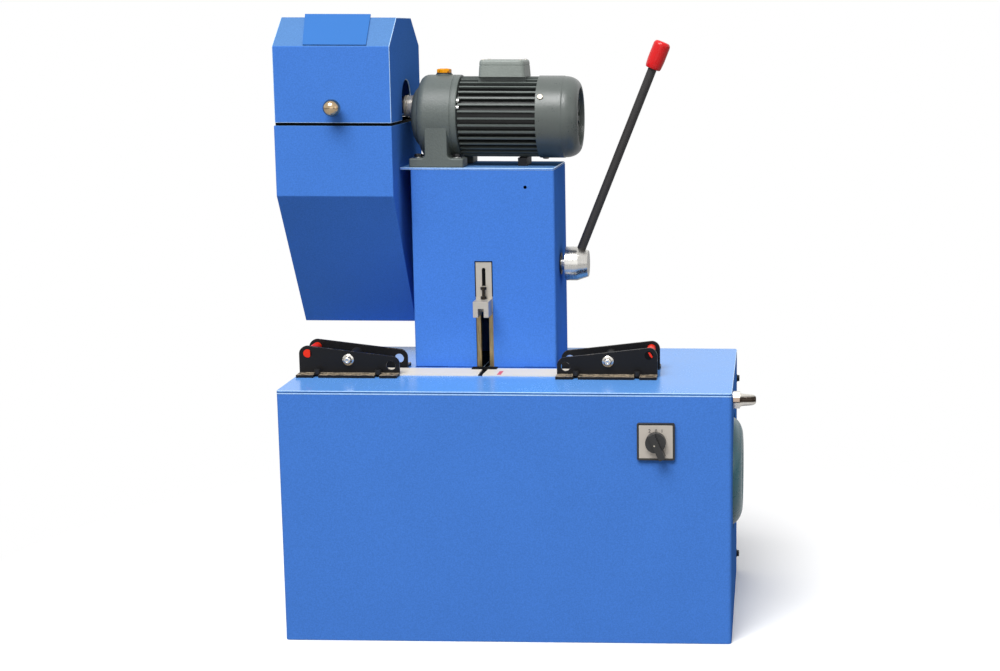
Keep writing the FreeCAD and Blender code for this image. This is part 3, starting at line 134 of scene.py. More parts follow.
class StudioSettings(bpy.types.PropertyGroup):
    """Camera and lamps."""

    lens: bpy.props.FloatProperty(name="Lens", description="Focal length in millimetres", default=58.02)
    key: bpy.props.FloatProperty(name="Key lamp", description="Watts of the lamp above the front", default=970.0)
    fill: bpy.props.FloatProperty(name="Fill lamp", description="Watts of the lamp by the camera", default=8.0)
    side: bpy.props.FloatProperty(name="Side lamp", description="Watts of the lamp at the right", default=4.0)
    floor: bpy.props.FloatVectorProperty(name="Floor", description="Pale floor as the camera sees it",
                                         subtype="COLOR", size=3, min=0, max=1, default=(0.97, 0.97, 0.97))


def colours():
    return bpy.context.scene.machine_colours


def size(name):
    """One of the sizes above, in millimetres."""
    return getattr(bpy.context.scene.machine_sizes, name) / MM


# ---------------------------------------------------------------- shader nodes


def add(tree, kind, links=None, **values):
    """Node of one kind with its properties set and its inputs linked or valued."""
    node = tree.nodes.new(kind)
    for key, value in values.items():
        setattr(node, key, value)
    for key, source in (links or {}).items():
        if isinstance(source, bpy.types.NodeSocket):
            tree.links.new(source, node.inputs[key])
        else:
            node.inputs[key].default_value = source
    return node


def calculate(tree, operation, *inputs):
    """Result of a Math node."""
    return add(tree, "ShaderNodeMath", dict(enumerate(inputs)), operation=operation).outputs[0]


def calculate_vector(tree, operation, *inputs):
    """Results of a Vector Math node: its vector and its number."""
    return add(tree, "ShaderNodeVectorMath", dict(enumerate(inputs)), operation=operation).outputs


def product(tree, first, *factors):
    """Factors multiplied one after another."""
    for factor in factors:
        first = calculate(tree, "MULTIPLY", first, factor)
    return first


def object_point(tree):
    return add(tree, "ShaderNodeTexCoord").outputs["Object"]


def axis_of(tree, axis, space="Object"):
    """One component of the Object coordinates, or of another output of Texture Coordinate."""
    point = add(tree, "ShaderNodeTexCoord").outputs[space]
    return add(tree, "ShaderNodeSeparateXYZ", {0: point}).outputs[axis]


def noise(tree, scale, detail, roughness=0.5, point=None):
    """Noise between 0 and 1 over the Object coordinates, or over the point given."""
    return add(tree, "ShaderNodeTexNoise", {"Vector": point or object_point(tree), "Scale": scale,
                                            "Detail": detail, "Roughness": roughness}).outputs["Fac"]


def ramp(tree, value, low, high, start=0.0, end=1.0):
    """Value carried from low .. high to start .. end, and held beyond them."""
    return add(tree, "ShaderNodeMapRange", {"Value": value, "From Min": low, "From Max": high,
                                            "To Min": start, "To Max": end}).outputs["Result"]


def opaque(colour):
    """Colour with full alpha. A socket stays as it is."""
    return colour if isinstance(colour, bpy.types.NodeSocket) else (*colour[:3], 1.0)


def blend(tree, share, first, second):
    """Colour that goes from first to second as share goes from 0 to 1."""
    links = {0: share, 6: opaque(first), 7: opaque(second)}
    return add(tree, "ShaderNodeMix", links, data_type="RGBA").outputs[2]


def between(tree, share, first, second):
    """Number that goes from first to second as share goes from 0 to 1."""
    return add(tree, "ShaderNodeMix", {0: share, 2: first, 3: second}, data_type="FLOAT").outputs[0]


# ---------------------------------------------------------------- shader groups

SOCKET_KINDS = {1: "NodeSocketFloat", 3: "NodeSocketVector", 4: "NodeSocketColor"}
COAT = {"Colour": 4, "Roughness": 1, "Normal": 3}
MASK = {"Mask": 1}


def new_group(name, inputs, outputs):
    """Empty shader group. Inputs are first values by label, outputs counts of numbers by label, and the
    count of its numbers gives a socket's kind."""
    group = bpy.data.node_groups.new(name, "ShaderNodeTree")
    for label, value in inputs.items():
        kind = SOCKET_KINDS[np.size(value)]
        group.interface.new_socket(label, in_out="INPUT", socket_type=kind).default_value = value
    for label, count in outputs.items():
        group.interface.new_socket(label, in_out="OUTPUT", socket_type=SOCKET_KINDS[count])
    given, made = group.nodes.new("NodeGroupInput"), group.nodes.new("NodeGroupOutput")
    return group, given.outputs, made.inputs


def close_coat(group, given, made, value, uneven, gloss_share, height, strength, distance):
    """Ends a finish group: value scales the colour, the uneven noise moves the gloss, height bends the normal."""
    tint = add(group, "ShaderNodeHueSaturation", {"Color": given["Colour"], "Value": value})
    gloss = calculate(group, "MULTIPLY_ADD", uneven, gloss_share, given["Roughness"])
    bump = add(group, "ShaderNodeBump", {"Height": height, "Strength": strength, "Distance": distance})
    group.links.new(tint.outputs["Color"], made["Colour"])
    group.links.new(gloss, made["Roughness"])
    group.links.new(bump.outputs["Normal"], made["Normal"])
    return group


def powder_coat_group():
    """Powder coat: fine orange peel in the normal, slow cloudiness in the colour, uneven gloss."""
    group, given, made = new_group("powder_coat", {"Colour": (0.1, 0.2, 0.6, 1), "Cloud": 0.07, "Speckle": 0.16,
                                                   "Grain": 330.0, "Peel": 0.25, "Roughness": 0.4}, COAT)
    grain = noise(group, given["Grain"], 2.0)
    drift = calculate(group, "ADD", noise(group, 7.0, 4.0, 0.62), -0.5)
    dots = calculate(group, "ADD", grain, -0.5)
    clouded = calculate(group, "MULTIPLY_ADD", drift, given["Cloud"], 1.0)
    value = calculate(group, "MULTIPLY_ADD", dots, given["Speckle"], clouded)
    uneven = calculate(group, "ADD", drift, dots)
    return close_coat(group, given, made, value, uneven, 0.16, grain, given["Peel"], 0.4 * MM)


def cast_paint_group():
    """Paint on a sand casting: pebbly skin in the normal and a slightly dusty colour."""
    group, given, made = new_group("cast_paint", {"Colour": (0.2, 0.2, 0.2, 1), "Pebble": 420.0, "Depth": 0.5,
                                                  "Dust": 0.14, "Roughness": 0.5}, COAT)
    pebble = noise(group, given["Pebble"], 3.0, 0.65)
    dust = calculate(group, "ADD", noise(group, 22.0, 3.0), pebble)
    uneven = calculate(group, "ADD", dust, -1.0)
    value = calculate(group, "MULTIPLY_ADD", uneven, given["Dust"], 1.0)
    return close_coat(group, given, made, value, uneven, 0.2, pebble, given["Depth"], 0.6 * MM)


def machined_group():
    """Machined metal: noise drawn out by Stretch gives tool lines in colour, gloss and normal."""
    group, given, made = new_group("machined", {"Colour": (0.6, 0.6, 0.6, 1), "Stretch": (400.0, 30.0, 30.0),
                                                "Lines": 0.25, "Roughness": 0.28}, COAT)
    stretched = calculate_vector(group, "MULTIPLY", object_point(group), given["Stretch"])["Vector"]
    lines = noise(group, 3.0, 4.0, 0.6, stretched)
    uneven = calculate(group, "ADD", lines, -0.5)
    value = calculate(group, "MULTIPLY_ADD", uneven, given["Lines"], 1.0)
    return close_coat(group, given, made, value, uneven, 0.3, lines, 0.12, 0.2 * MM)


def band_mask_group():
    """Mask that is 1 where Low < coordinate < High, with a ragged edge of the width Ragged."""
    group, given, made = new_group("band_mask", {"Coordinate": 0.0, "Low": 0.0, "High": 1.0, "Ragged": 0.001,
                                                 "Scale": 180.0}, MASK)
    centred = calculate(group, "ADD", noise(group, given["Scale"], 4.0), -0.5)
    moved = calculate(group, "MULTIPLY_ADD", centred, given["Ragged"], given["Coordinate"])
    over = calculate(group, "GREATER_THAN", moved, given["Low"])
    under = calculate(group, "LESS_THAN", moved, given["High"])
    group.links.new(calculate(group, "MULTIPLY", over, under), made["Mask"])
    return group


def box_mask_group():
    """Mask that is 1 inside a box: every axis' distance from Centre is below its Half."""
    group, given, made = new_group("box_mask", {"Centre": (0, 0, 0), "Half": (1, 1, 1)}, MASK)
    apart = calculate_vector(group, "SUBTRACT", object_point(group), given["Centre"])["Vector"]
    plain = calculate_vector(group, "ABSOLUTE", apart)["Vector"]
    over = calculate_vector(group, "SUBTRACT", plain, given["Half"])["Vector"]
    x, y, z = add(group, "ShaderNodeSeparateXYZ", {0: over}).outputs
    most = calculate(group, "MAXIMUM", calculate(group, "MAXIMUM", x, y), z)
    group.links.new(calculate(group, "LESS_THAN", most, 0.0), made["Mask"])
    return group


GROUP_MAKERS = {"powder_coat": powder_coat_group, "cast_paint": cast_paint_group, "machined": machined_group,
                "band_mask": band_mask_group, "box_mask": box_mask_group}


def group_node(tree, name, values):
    """One of the shared groups placed in a material, made the first time that it is asked for."""
    group = bpy.data.node_groups.get(name) or GROUP_MAKERS[name]()
    return add(tree, "ShaderNodeGroup", values, node_tree=group)


def band(tree, axis, low, high, ragged):
    """Mask of a band across one axis of the Object coordinates, in millimetres."""
    return group_node(tree, "band_mask", {"Coordinate": axis_of(tree, axis), "Low": low * MM, "High": high * MM,
                                          "Ragged": ragged * MM}).outputs["Mask"]


# ---------------------------------------------------------------- materials


def new_material(name, sockets):
    """Material with a Principled shader whose plain sockets are set by label."""
    material = bpy.data.materials.new(name)
    material.use_nodes = True
    tree = material.node_tree
    tree.nodes.clear()
    shader = add(tree, "ShaderNodeBsdfPrincipled", sockets)
    out = add(tree, "ShaderNodeOutputMaterial", {"Surface": shader.outputs["BSDF"]})
    return material, tree, shader, out


def finish(name, group, colour, metallic=0.0, specular=0.5, coat=(0.0, 0.03), **values):
    """Material in one of the group finishes, made once. Its colour is plain or made by a function of the tree,
    coat is the clear coat's weight and roughness, and values go to the group's inputs of the same names."""
    known = bpy.data.materials.get(name)
    if known:
        return known
    material, tree, shader, _ = new_material(name, {"Metallic": metallic, "Specular IOR Level": specular,
                                                    "Coat Weight": coat[0], "Coat Roughness": coat[1]})
    inputs = {key.title(): value for key, value in values.items()}
    inputs["Colour"] = colour(tree) if callable(colour) else opaque(colour)
    skin = group_node(tree, group, inputs)
    for label, socket in (("Colour", "Base Color"), ("Roughness", "Roughness"), ("Normal", "Normal")):
        tree.links.new(skin.outputs[label], shader.inputs[socket])
    return material


def unlit(tree, colour):
    """The colour turned near black inside the column, the cabinet and the table's slot, where no lamp reaches."""
    boxes = (((-190.5, 6.5, 437.0), (62.5, 157.5, 796.5)), ((-381.5, -191.5, 3.5), (381.5, 190.0, 434.5)),
             ((-69.7, -120.0, 430.0), (-60.3, 60.0, 439.8)))
    total = 0.0
    for low, high in boxes:
        low, high = np.array(low) * MM, np.array(high) * MM
        box = {"Centre": tuple((low + high) / 2), "Half": tuple((high - low) / 2)}
        total = calculate(tree, "MAXIMUM", group_node(tree, "box_mask", box).outputs["Mask"], total)
    return blend(tree, total, colour, screen("0B0D12"))


def powder_blue():
    """Blue coat, paler and greyer where the sheet faces upwards as painted sheen and dust, and painted shade,
    near black, where no lamp reaches.
    """
    def dust_and_sheen(tree):
        upwards = ramp(tree, axis_of(tree, "Z", "Normal"), 0.3, 0.75)
        return unlit(tree, blend(tree, upwards, colours().powder, colours().dusty))
    return finish("powder_blue", "powder_coat", dust_and_sheen, specular=0.0,
                  cloud=0.12, speckle=0.4, grain=470.0, peel=0.2, roughness=0.4)


def table_blue():
    """The same coat on the table, rubbed glossier, in a paler blue that is painted sheen on its top, and near
    black in its slot as painted shade.
    """
    def shaded(tree):
        return unlit(tree, colours().table)
    return finish("table_blue", "powder_coat", shaded, specular=0.24,
                  cloud=0.1, speckle=0.3, grain=330.0, peel=0.06, roughness=0.24)


def fold_highlight_blue():
    """Pale blue on folded edges: a painted highlight along the folds."""
    return finish("fold_highlight_blue", "powder_coat", colours().fold,
                  cloud=0.3, speckle=0.5, grain=210.0, peel=0.2, roughness=0.3)


def shadow_blue():
    return finish("shadow_blue", "powder_coat", screen("1D3F86"), specular=0.1,
                  cloud=0.2, speckle=0.2, grain=200.0, peel=0.1, roughness=0.7)


def plate_blue():
    return finish("plate_blue", "powder_coat", colours().plate, specular=0.35,
                  cloud=0.04, speckle=0.03, grain=900.0, peel=0.05, roughness=0.5)


def casting_grey():
    return finish("casting_grey", "cast_paint", colours().casting, specular=0.42,
                  pebble=270.0, depth=0.8, dust=0.3, roughness=0.44)


def fin_grey():
    """Casting paint that turns near black in the valleys between the fins, by distance from the axis: painted
    shade.
    """
    def valley_shade(tree):
        flat = calculate_vector(tree, "MULTIPLY", object_point(tree), (0.0, 1.0, 1.0))["Vector"]
        axis = (0.0, MOTOR_Y * MM, MOTOR_Z * MM)
        reach = calculate_vector(tree, "DISTANCE", flat, axis)["Value"]
        return blend(tree, ramp(tree, reach, 70.5 * MM, 65.5 * MM), colours().casting, screen("111213"))
    return finish("fin_grey", "cast_paint", valley_shade, specular=0.42,
                  pebble=270.0, depth=0.6, dust=0.3, roughness=0.44)


def box_grey():
    return finish("box_grey", "cast_paint", colours().box, specular=0.42,
                  pebble=270.0, depth=0.8, dust=0.3, roughness=0.44)


def cowl_grey():
    return finish("cowl_grey", "cast_paint", colours().cowl,
                  pebble=330.0, depth=0.4, dust=0.2, roughness=0.32)


def motor_teal():
    return finish("motor_teal", "powder_coat", colours().teal, coat=(0.25, 0.1),
                  cloud=0.14, speckle=0.1, grain=160.0, peel=0.2, roughness=0.3)


def turned_steel():
    return finish("turned_steel", "machined", colours().steel, metallic=1.0,
                  stretch=(420.0, 22.0, 22.0), lines=0.3, roughness=0.24)


def zinc_plate():
    return finish("zinc_plate", "machined", colours().zinc, metallic=1.0,
                  stretch=(90.0, 90.0, 90.0), lines=0.16, roughness=0.2)


def bright_chrome():
    return finish("bright_chrome", "machined", screen("D2CFC9"), metallic=1.0,
                  stretch=(60.0, 60.0, 60.0), lines=0.4, roughness=0.15)


def collar_steel():
    return finish("collar_steel", "machined", screen("CFC8BC"), metallic=0.6,
                  stretch=(900.0, 12.0, 12.0), lines=0.6, roughness=0.3)


def dull_screw():
    return finish("dull_screw", "machined", screen("A8A296"), metallic=1.0,
                  stretch=(120.0, 120.0, 120.0), lines=0.5, roughness=0.36)


def milled_aluminium():
    return finish("milled_aluminium", "machined", colours().aluminium, metallic=0.55,
                  stretch=(26.0, 26.0, 420.0), lines=0.16, roughness=0.42)


def bronze_rail():
    return finish("bronze_rail", "machined", colours().bronze, metallic=0.7,
                  stretch=(95.0, 95.0, 14.0), lines=1.7, roughness=0.38)


def tool_steel():
    return finish("tool_steel", "machined", screen("6F6E6C"), metallic=1.0,
                  stretch=(200.0, 40.0, 40.0), lines=0.35, roughness=0.36)


def black_oxide():
    return finish("black_oxide", "cast_paint", colours().oxide, specular=0.35,
                  pebble=520.0, depth=0.35, dust=0.35, roughness=0.48)


# Near black for painted shade in holes, gaps and hollows; the throat bar takes it as its own black.
def dark_void():
    return finish("dark_void", "cast_paint", screen("0B0B0C"), specular=0.1,
                  pebble=300.0, depth=0.1, dust=0.1, roughness=0.8)


def black_plastic():
    return finish("black_plastic", "cast_paint", colours().plastic, specular=0.45,
                  pebble=1100.0, depth=0.18, dust=0.12, roughness=0.42)


def grip_red():
    return finish("grip_red", "powder_coat", colours().red, specular=0.3, coat=(0.2, 0.08),
                  cloud=0.05, speckle=0.04, grain=240.0, peel=0.06, roughness=0.3)


def sleeve_red():
    return finish("sleeve_red", "powder_coat", colours().sleeve, specular=0.4,
                  cloud=0.16, speckle=0.2, grain=300.0, peel=0.1, roughness=0.36)


def rod_black():
    return finish("rod_black", "cast_paint", colours().rod, specular=0.35,
                  pebble=900.0, depth=0.5, dust=0.2, roughness=0.55)


def breather_amber():
    """Glossy amber plastic with dark brown oil marks inside."""
    def stained(tree):
        return blend(tree, ramp(tree, noise(tree, 170.0, 2.0), 0.55, 0.62), colours().amber, screen("7A3A08"))
    return finish("breather_amber", "powder_coat", stained, specular=0.15, coat=(0.12, 0.06),
                  cloud=0.16, speckle=0.2, grain=200.0, peel=0.08, roughness=0.25)


def switch_silver():
    return finish("switch_silver", "machined", colours().face, metallic=0.25,
                  stretch=(12.0, 12.0, 300.0), lines=0.08, roughness=0.4)


def knob_nickel():
    return finish("knob_nickel", "machined", screen("B8A283"), metallic=1.0,
                  stretch=(30.0, 30.0, 30.0), lines=0.7, roughness=0.16)


def nylon_roller():
    return finish("nylon_roller", "cast_paint", screen("161617"), specular=0.3,
                  pebble=260.0, depth=0.15, dust=0.15, roughness=0.55)


def dark_bronze():
    return finish("dark_bronze", "machined", screen("2B241A"), metallic=0.6,
                  stretch=(120.0, 120.0, 120.0), lines=1.2, roughness=0.36)


def nipple_chrome():
    """Chromed brass with a dark brown band along its middle: a painted reflection."""
    def reflection_band(tree):
        height = axis_of(tree, "Z")
        along = product(tree, ramp(tree, height, 0.4130, 0.4150), ramp(tree, height, 0.4250, 0.4220))
        return blend(tree, along, screen("E4DFD6"), screen("3A322C"))
    return finish("nipple_chrome", "machined", reflection_band, metallic=1.0,
                  stretch=(160.0, 12.0, 12.0), lines=0.5, roughness=0.12)


def bracket_black():
    """Black oxide whose feet are rubbed down to tan metal on top, most along the fold."""
    def rubbed(tree):
        flat = calculate(tree, "GREATER_THAN", axis_of(tree, "Z", "Normal"), 0.9)
        patches = ramp(tree, noise(tree, 150.0, 6.0, 0.8), 0.4, 0.58)
        bare = product(tree, band(tree, "Z", 444.5, 446.5, 0.2), flat, patches)
        return blend(tree, bare, colours().oxide, colours().worn)
    return finish("bracket_black", "cast_paint", rubbed, specular=0.22,
                  pebble=520.0, depth=0.35, dust=0.35, roughness=0.46)


def rubbed_edge():
    """Black edges of the brackets, scuffed to bare metal in places."""
    def scuffed(tree):
        return blend(tree, ramp(tree, noise(tree, 60.0, 6.0, 0.75), 0.5, 0.62), colours().oxide, screen("8C8072"))
    return finish("rubbed_edge", "cast_paint", scuffed, specular=0.4,
                  pebble=520.0, depth=0.3, dust=0.3, roughness=0.42)


def strip_white():
    """White laminate with one red mark across it, right of the cut."""
    def marked(tree):
        mark = product(tree, band(tree, "X", -32.5, -25.5, 0.6), band(tree, "Y", -67.5, -36.0, 2.0), 0.9)
        return blend(tree, mark, colours().strip, colours().mark)
    return finish("strip_white", "machined", marked, specular=0.4,
                  stretch=(3.0, 150.0, 60.0), lines=0.24, roughness=0.4)


# ---------------------------------------------------------------- meshes


def joined(name, parts):
    """Object at the origin whose mesh holds several (points, faces) sets, with points in metres."""
    points, faces, base = [], [], 0
    for these, their_faces in parts:
        points.append(these)
        faces += [[base + int(i) for i in face] for face in their_faces]
        base += len(these)
    mesh = bpy.data.meshes.new(name)
    mesh.from_pydata(np.vstack(points).tolist(), [], faces)
    mesh.update()
    piece = bpy.data.objects.new(name, mesh)
    bpy.context.scene.collection.objects.link(piece)
    return piece


def frame_of(axis):
    """Two unit vectors across the axis and the axis itself; the first lies level where it can."""
    w = np.array(axis, float)
    w /= np.linalg.norm(w)
    helper = np.array(UP if abs(w[2]) < 0.9 else BACK, float)
    u = np.cross(helper, w)
    u /= np.linalg.norm(u)
    return u, np.cross(w, u), w


def strip_faces(low, high):
    """Faces between two rings of point numbers. A ring of one number is a pole, which takes triangles."""
    count = max(len(low), len(high))
    sides = [np.resize(ring, count) for ring in (low, np.roll(low, -1), np.roll(high, -1), high)]
    if len(low) < count:
        del sides[0]
    elif len(high) < count:
        del sides[3]
    return np.stack(sides, 1).tolist()


def ring_radius(half, sides, angle):
    """Radius of a round (sides 0), of a regular polygon, which is half / cos of the angle from its flat's
    middle, or of a star with -sides arms, where it falls between the arms with a power of the cosine."""
    if not sides:
        return np.full_like(angle, half)
    if sides < 0:
        return half * (0.32 + 0.68 * np.abs(np.cos(angle * -sides / 2)) ** 5)
    part = 2 * np.pi / sides
    return half / np.cos(np.mod(angle, part) - part / 2)


def turned_parts(profile, origin, axis, steps=48, closed=False, lean=0.0):
    """Points and faces of a turned solid: point (i, j) = origin + h_i w + r_i(t_j) (cos t_j u + sin t_j v).

    A profile row is (radius, height) or (half across flats, height, sides), in millimetres. The profile
    runs anticlockwise as seen with the axis up and the radius to the right, so faces point outwards."""
    u, v, w = frame_of(axis)
    angle = np.linspace(0, 2 * np.pi, steps, endpoint=False)
    around = np.cos(angle + lean)[:, None] * u + np.sin(angle + lean)[:, None] * v
    points, rings, count = [], [], 0
    for half, high, *sides in profile:
        ring = (np.array(origin, float) + w * high)[None, :]
        if half > 0:
            ring = ring + ring_radius(half, sides[0] if sides else 0, angle)[:, None] * around
        points.append(ring)
        rings.append(np.arange(count, count + len(ring)))
        count += len(ring)
    following = rings[1:] + rings[:1] if closed else rings[1:]
    faces = [face for low, high in zip(rings, following) for face in strip_faces(low, high)]
    return np.vstack(points) * MM, faces


def slab_parts(corners, depth, origin, across, up):
    """Points and faces of a prism: outline points (a, b) stand at origin + a across + b up, carried by depth
    along across x up. The outline runs anticlockwise as seen against that direction."""
    across, up, outline = np.array(across, float), np.array(up, float), np.asarray(corners, float)
    rear = np.array(origin, float) + outline[:, :1] * across + outline[:, 1:] * up
    here = np.arange(len(outline))
    there = here + len(outline)
    points = np.vstack([rear, rear + np.cross(across, up) * depth])
    return points * MM, [here[::-1], there, *strip_faces(here, there)]


def oblong(left, low, right, high):
    """Corners of a rectangle, anticlockwise."""
    return [(left, low), (right, low), (right, high), (left, high)]


def rounded_outline(width, height, radius, steps=6):
    """Corners of a rectangle with quarter-circle corners, anticlockwise about its middle."""
    angle = np.linspace(0, np.pi / 2, steps)
    rows = []
    for k, (sx, sy) in enumerate(((1, 1), (-1, 1), (-1, -1), (1, -1))):
        centre = np.array((sx * (width / 2 - radius), sy * (height / 2 - radius)))
        turned = angle + k * np.pi / 2
        rows.append(centre + radius * np.stack([np.cos(turned), np.sin(turned)], 1))
    return np.vstack(rows)


def loft_parts(rows, centre, steps=7):
    """Points and faces of a cast block: row (width, depth, corner radius, height) is a rounded rectangle about
    the upright line through centre; point (k, j) joins point (k + 1, j), and both ends are closed flat."""
    count = 4 * steps
    levels = [np.column_stack([rounded_outline(width, depth, corner, steps) + centre, np.full(count, high)])
              for width, depth, corner, high in rows]
    rings = [np.arange(count) + k * count for k in range(len(rows))]
    walls = [face for low, high in zip(rings, rings[1:]) for face in strip_faces(low, high)]
    return np.vstack(levels) * MM, [rings[0][::-1], rings[-1], *walls]


def slotted_disc_parts(radii, low, high, slots, origin, axis, steps=120):
    """Points and faces of a round plate with radial slots: a grid (r_i, t_j) of three rings of cells at two
    heights. In the middle ring every other half pitch is left out, and a wall stands wherever a cell ends."""
    u, v, w = frame_of(axis)
    angle = np.linspace(0, 2 * np.pi, steps, endpoint=False)
    r, t = np.meshgrid(np.array(radii, float), angle, indexing="ij")
    flat = np.array(origin, float) + (r[..., None] * (np.cos(t)[..., None] * u + np.sin(t)[..., None] * v))
    flat = flat.reshape(-1, 3)
    solid = np.zeros((5, steps), bool)
    solid[1:4] = True
    solid[2] = np.mod(angle * slots / (2 * np.pi), 1.0) >= 0.5
    i, j = np.nonzero(solid)
    a, b, c, d = [(i - 1 + di) * steps + (j + dj) % steps for di, dj in ((0, 0), (0, 1), (1, 1), (1, 0))]
    top = len(flat)
    faces = [np.stack([a + top, d + top, c + top, b + top], 1), np.stack([a, b, c, d], 1)]
    for ring, turn, p, q in ((0, -1, a, d), (0, 1, c, b), (1, 0, d, c), (-1, 0, b, a)):
        bare = ~solid[i + ring, (j + turn) % steps]
        faces.append(np.stack([p, q, q + top, p + top], 1)[bare])
    return np.vstack([flat + w * low, flat + w * high]) * MM, np.vstack(faces).tolist()


# ---------------------------------------------------------------- edges and bodies


def mesh_group(name):
    """Geometry group that drops stored normals and joins touching corners, open at its end."""
    group = bpy.data.node_groups.new(name, "GeometryNodeTree")
    for way in ("INPUT", "OUTPUT"):
        group.interface.new_socket("Geometry", in_out=way, socket_type="NodeSocketGeometry")
    given, made = group.nodes.new("NodeGroupInput"), group.nodes.new("NodeGroupOutput")
    clean = add(group, "GeometryNodeRemoveAttribute", {"Geometry": given.outputs[0], "Name": "custom_normal"})
    merge = add(group, "GeometryNodeMergeByDistance", {"Geometry": clean.outputs[0], "Distance": 0.00001})
    return group, merge.outputs[0], made.inputs[0]


def join_corners():
    """Geometry group that drops stored normals and joins touching corners."""
    known = bpy.data.node_groups.get("join_corners")
    if known:
        return known
    group, merged, end = mesh_group("join_corners")
    group.links.new(merged, end)
    return group


def sharp_by_angle():
    """Geometry group that also shades the piece smooth and keeps edges over 40 degrees sharp."""
    known = bpy.data.node_groups.get("sharp_by_angle")
    if known:
        return known
    group, merged, end = mesh_group("sharp_by_angle")
    smooth = add(group, "GeometryNodeSetShadeSmooth", {"Geometry": merged, "Shade Smooth": True}, domain="FACE")
    angle = add(group, "GeometryNodeInputMeshEdgeAngle")
    steep = add(group, "FunctionNodeCompare", {"A": angle.outputs[0], "B": math.radians(40)},
                data_type="FLOAT", operation="GREATER_THAN")
    edge = add(group, "GeometryNodeSetShadeSmooth", {"Geometry": smooth.outputs[0], "Selection": steep.outputs[0],
                                                     "Shade Smooth": False}, domain="EDGE")
    group.links.new(edge.outputs[0], end)
    return group


def soften(piece, rounding, segments):
    """Rounds the sharp edges by a radius in millimetres and shades the rest smooth."""
    if rounding > 0:
        piece.modifiers.new("join_corners", "NODES").node_group = join_corners()
        flat = piece.modifiers.new("flat_faces", "DECIMATE")
        flat.decimate_type = "DISSOLVE"
        flat.angle_limit = math.radians(0.4)
        edge = piece.modifiers.new("rounding", "BEVEL")
        edge.width = rounding * MM
        edge.segments = segments
        edge.limit_method = "ANGLE"
        edge.angle_limit = math.radians(30)
        edge.miter_outer = "MITER_ARC"
        edge.use_clamp_overlap = True
    piece.modifiers.new("sharp_by_angle", "NODES").node_group = sharp_by_angle()
    even = piece.modifiers.new("even_shading", "WEIGHTED_NORMAL")
    even.keep_sharp = True
    even.weight = 100


def dress(node, material, rounding=0.0, segments=2, edge=None):
    """Gives a CAD node its finish and its rounded edges, and those a finish of their own where there is one."""
    piece = NODES[node]
    piece.data.materials.clear()
    piece.data.materials.append(material)
    soften(piece, rounding, segments)
    if edge:
        piece.data.materials.append(edge)
        piece.modifiers["rounding"].material = len(piece.data.materials) - 1


def settle(piece, material, body, rounding=0.0, segments=2):
    """Gives a new piece its finish, its rounded edges and its body."""
    piece.data.materials.append(material)
    soften(piece, rounding, segments)
    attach(piece, body)
    return piece


def fit(name, parts, material, body="frame", rounding=0.0, segments=2):
    """New piece of several (points, faces) sets, settled on its body."""
    return settle(joined(name, parts), material, body, rounding, segments)


# ---------------------------------------------------------------- small shapes


def quarter(radius, height, reach, rise, steps):
    """Profile rows along a quarter ellipse: r = radius + reach cos a, h = height + rise sin a."""
    angle = np.linspace(0, np.pi / 2, steps)
    return np.stack([radius + reach * np.cos(angle), height + rise * np.sin(angle)], 1)


def bar_parts(radius, length, origin, axis, steps=48):
    """Plain round bar."""
    return turned_parts([(0, 0), (radius, 0), (radius, length), (0, length)], origin, axis, steps)


def socket_screw_parts(origin, axis, head, rise):
    """Socket head screw: round head with a broken edge and a hexagonal recess."""
    key = head * 0.46
    return turned_parts([(0, 0), (head, 0), (head, rise * 0.9), (head * 0.93, rise), (key * 1.18, rise),
                         (key, rise * 0.97, 6), (key, rise * 0.4, 6), (0, rise * 0.36)], origin, axis)


def hex_bolt_parts(origin, axis, flats, rise):
    """Hexagon head with a rounded top ring."""
    half = flats / 2
    return turned_parts([(0, 0), (half, 0, 6), (half, rise * 0.82, 6), (half * 0.93, rise), (0, rise)],
                        origin, axis, lean=0.3)


def washer_parts(origin, axis, hole, outer, thick):
    """Flat ring with broken edges."""
    e = thick * 0.25
    return turned_parts([(hole, 0), (outer - e, 0), (outer, e), (outer, thick - e), (outer - e, thick),
                         (hole, thick)], origin, axis, closed=True)


def cross_screw_parts(origin, axis, head, rise):
    """Domed screw head with a cross recess: r falls along a quarter ellipse."""
    dome = quarter(head * 0.7, rise * 0.3, head * 0.3, rise * 0.68, 7)[:-1]
    return turned_parts([(0, 0), (head, 0), *dome, (head * 0.66, rise * 0.99), (head * 0.6, rise, -4),
                         (head * 0.5, rise * 0.3, -4), (0, rise * 0.3)], origin, axis, steps=64)


def dome_cap_parts(origin, axis, flange, dome, length):
    """Flanged cap: washer face, shoulder, and a dome that ends in a shallow round recess."""
    crown = quarter(dome * 0.55, length * 0.62, dome * 0.45, length * 0.38, 8)
    return turned_parts([(0, 0), (flange, 0), (flange, 1.4), (flange * 0.93, 2.0), (dome + 0.6, 2.6),
                         (dome, length * 0.62), *crown, (dome * 0.36, length * 0.99),
                         (dome * 0.3, length * 0.86), (0, length * 0.84)], origin, axis)


# ---------------------------------------------------------------- operators


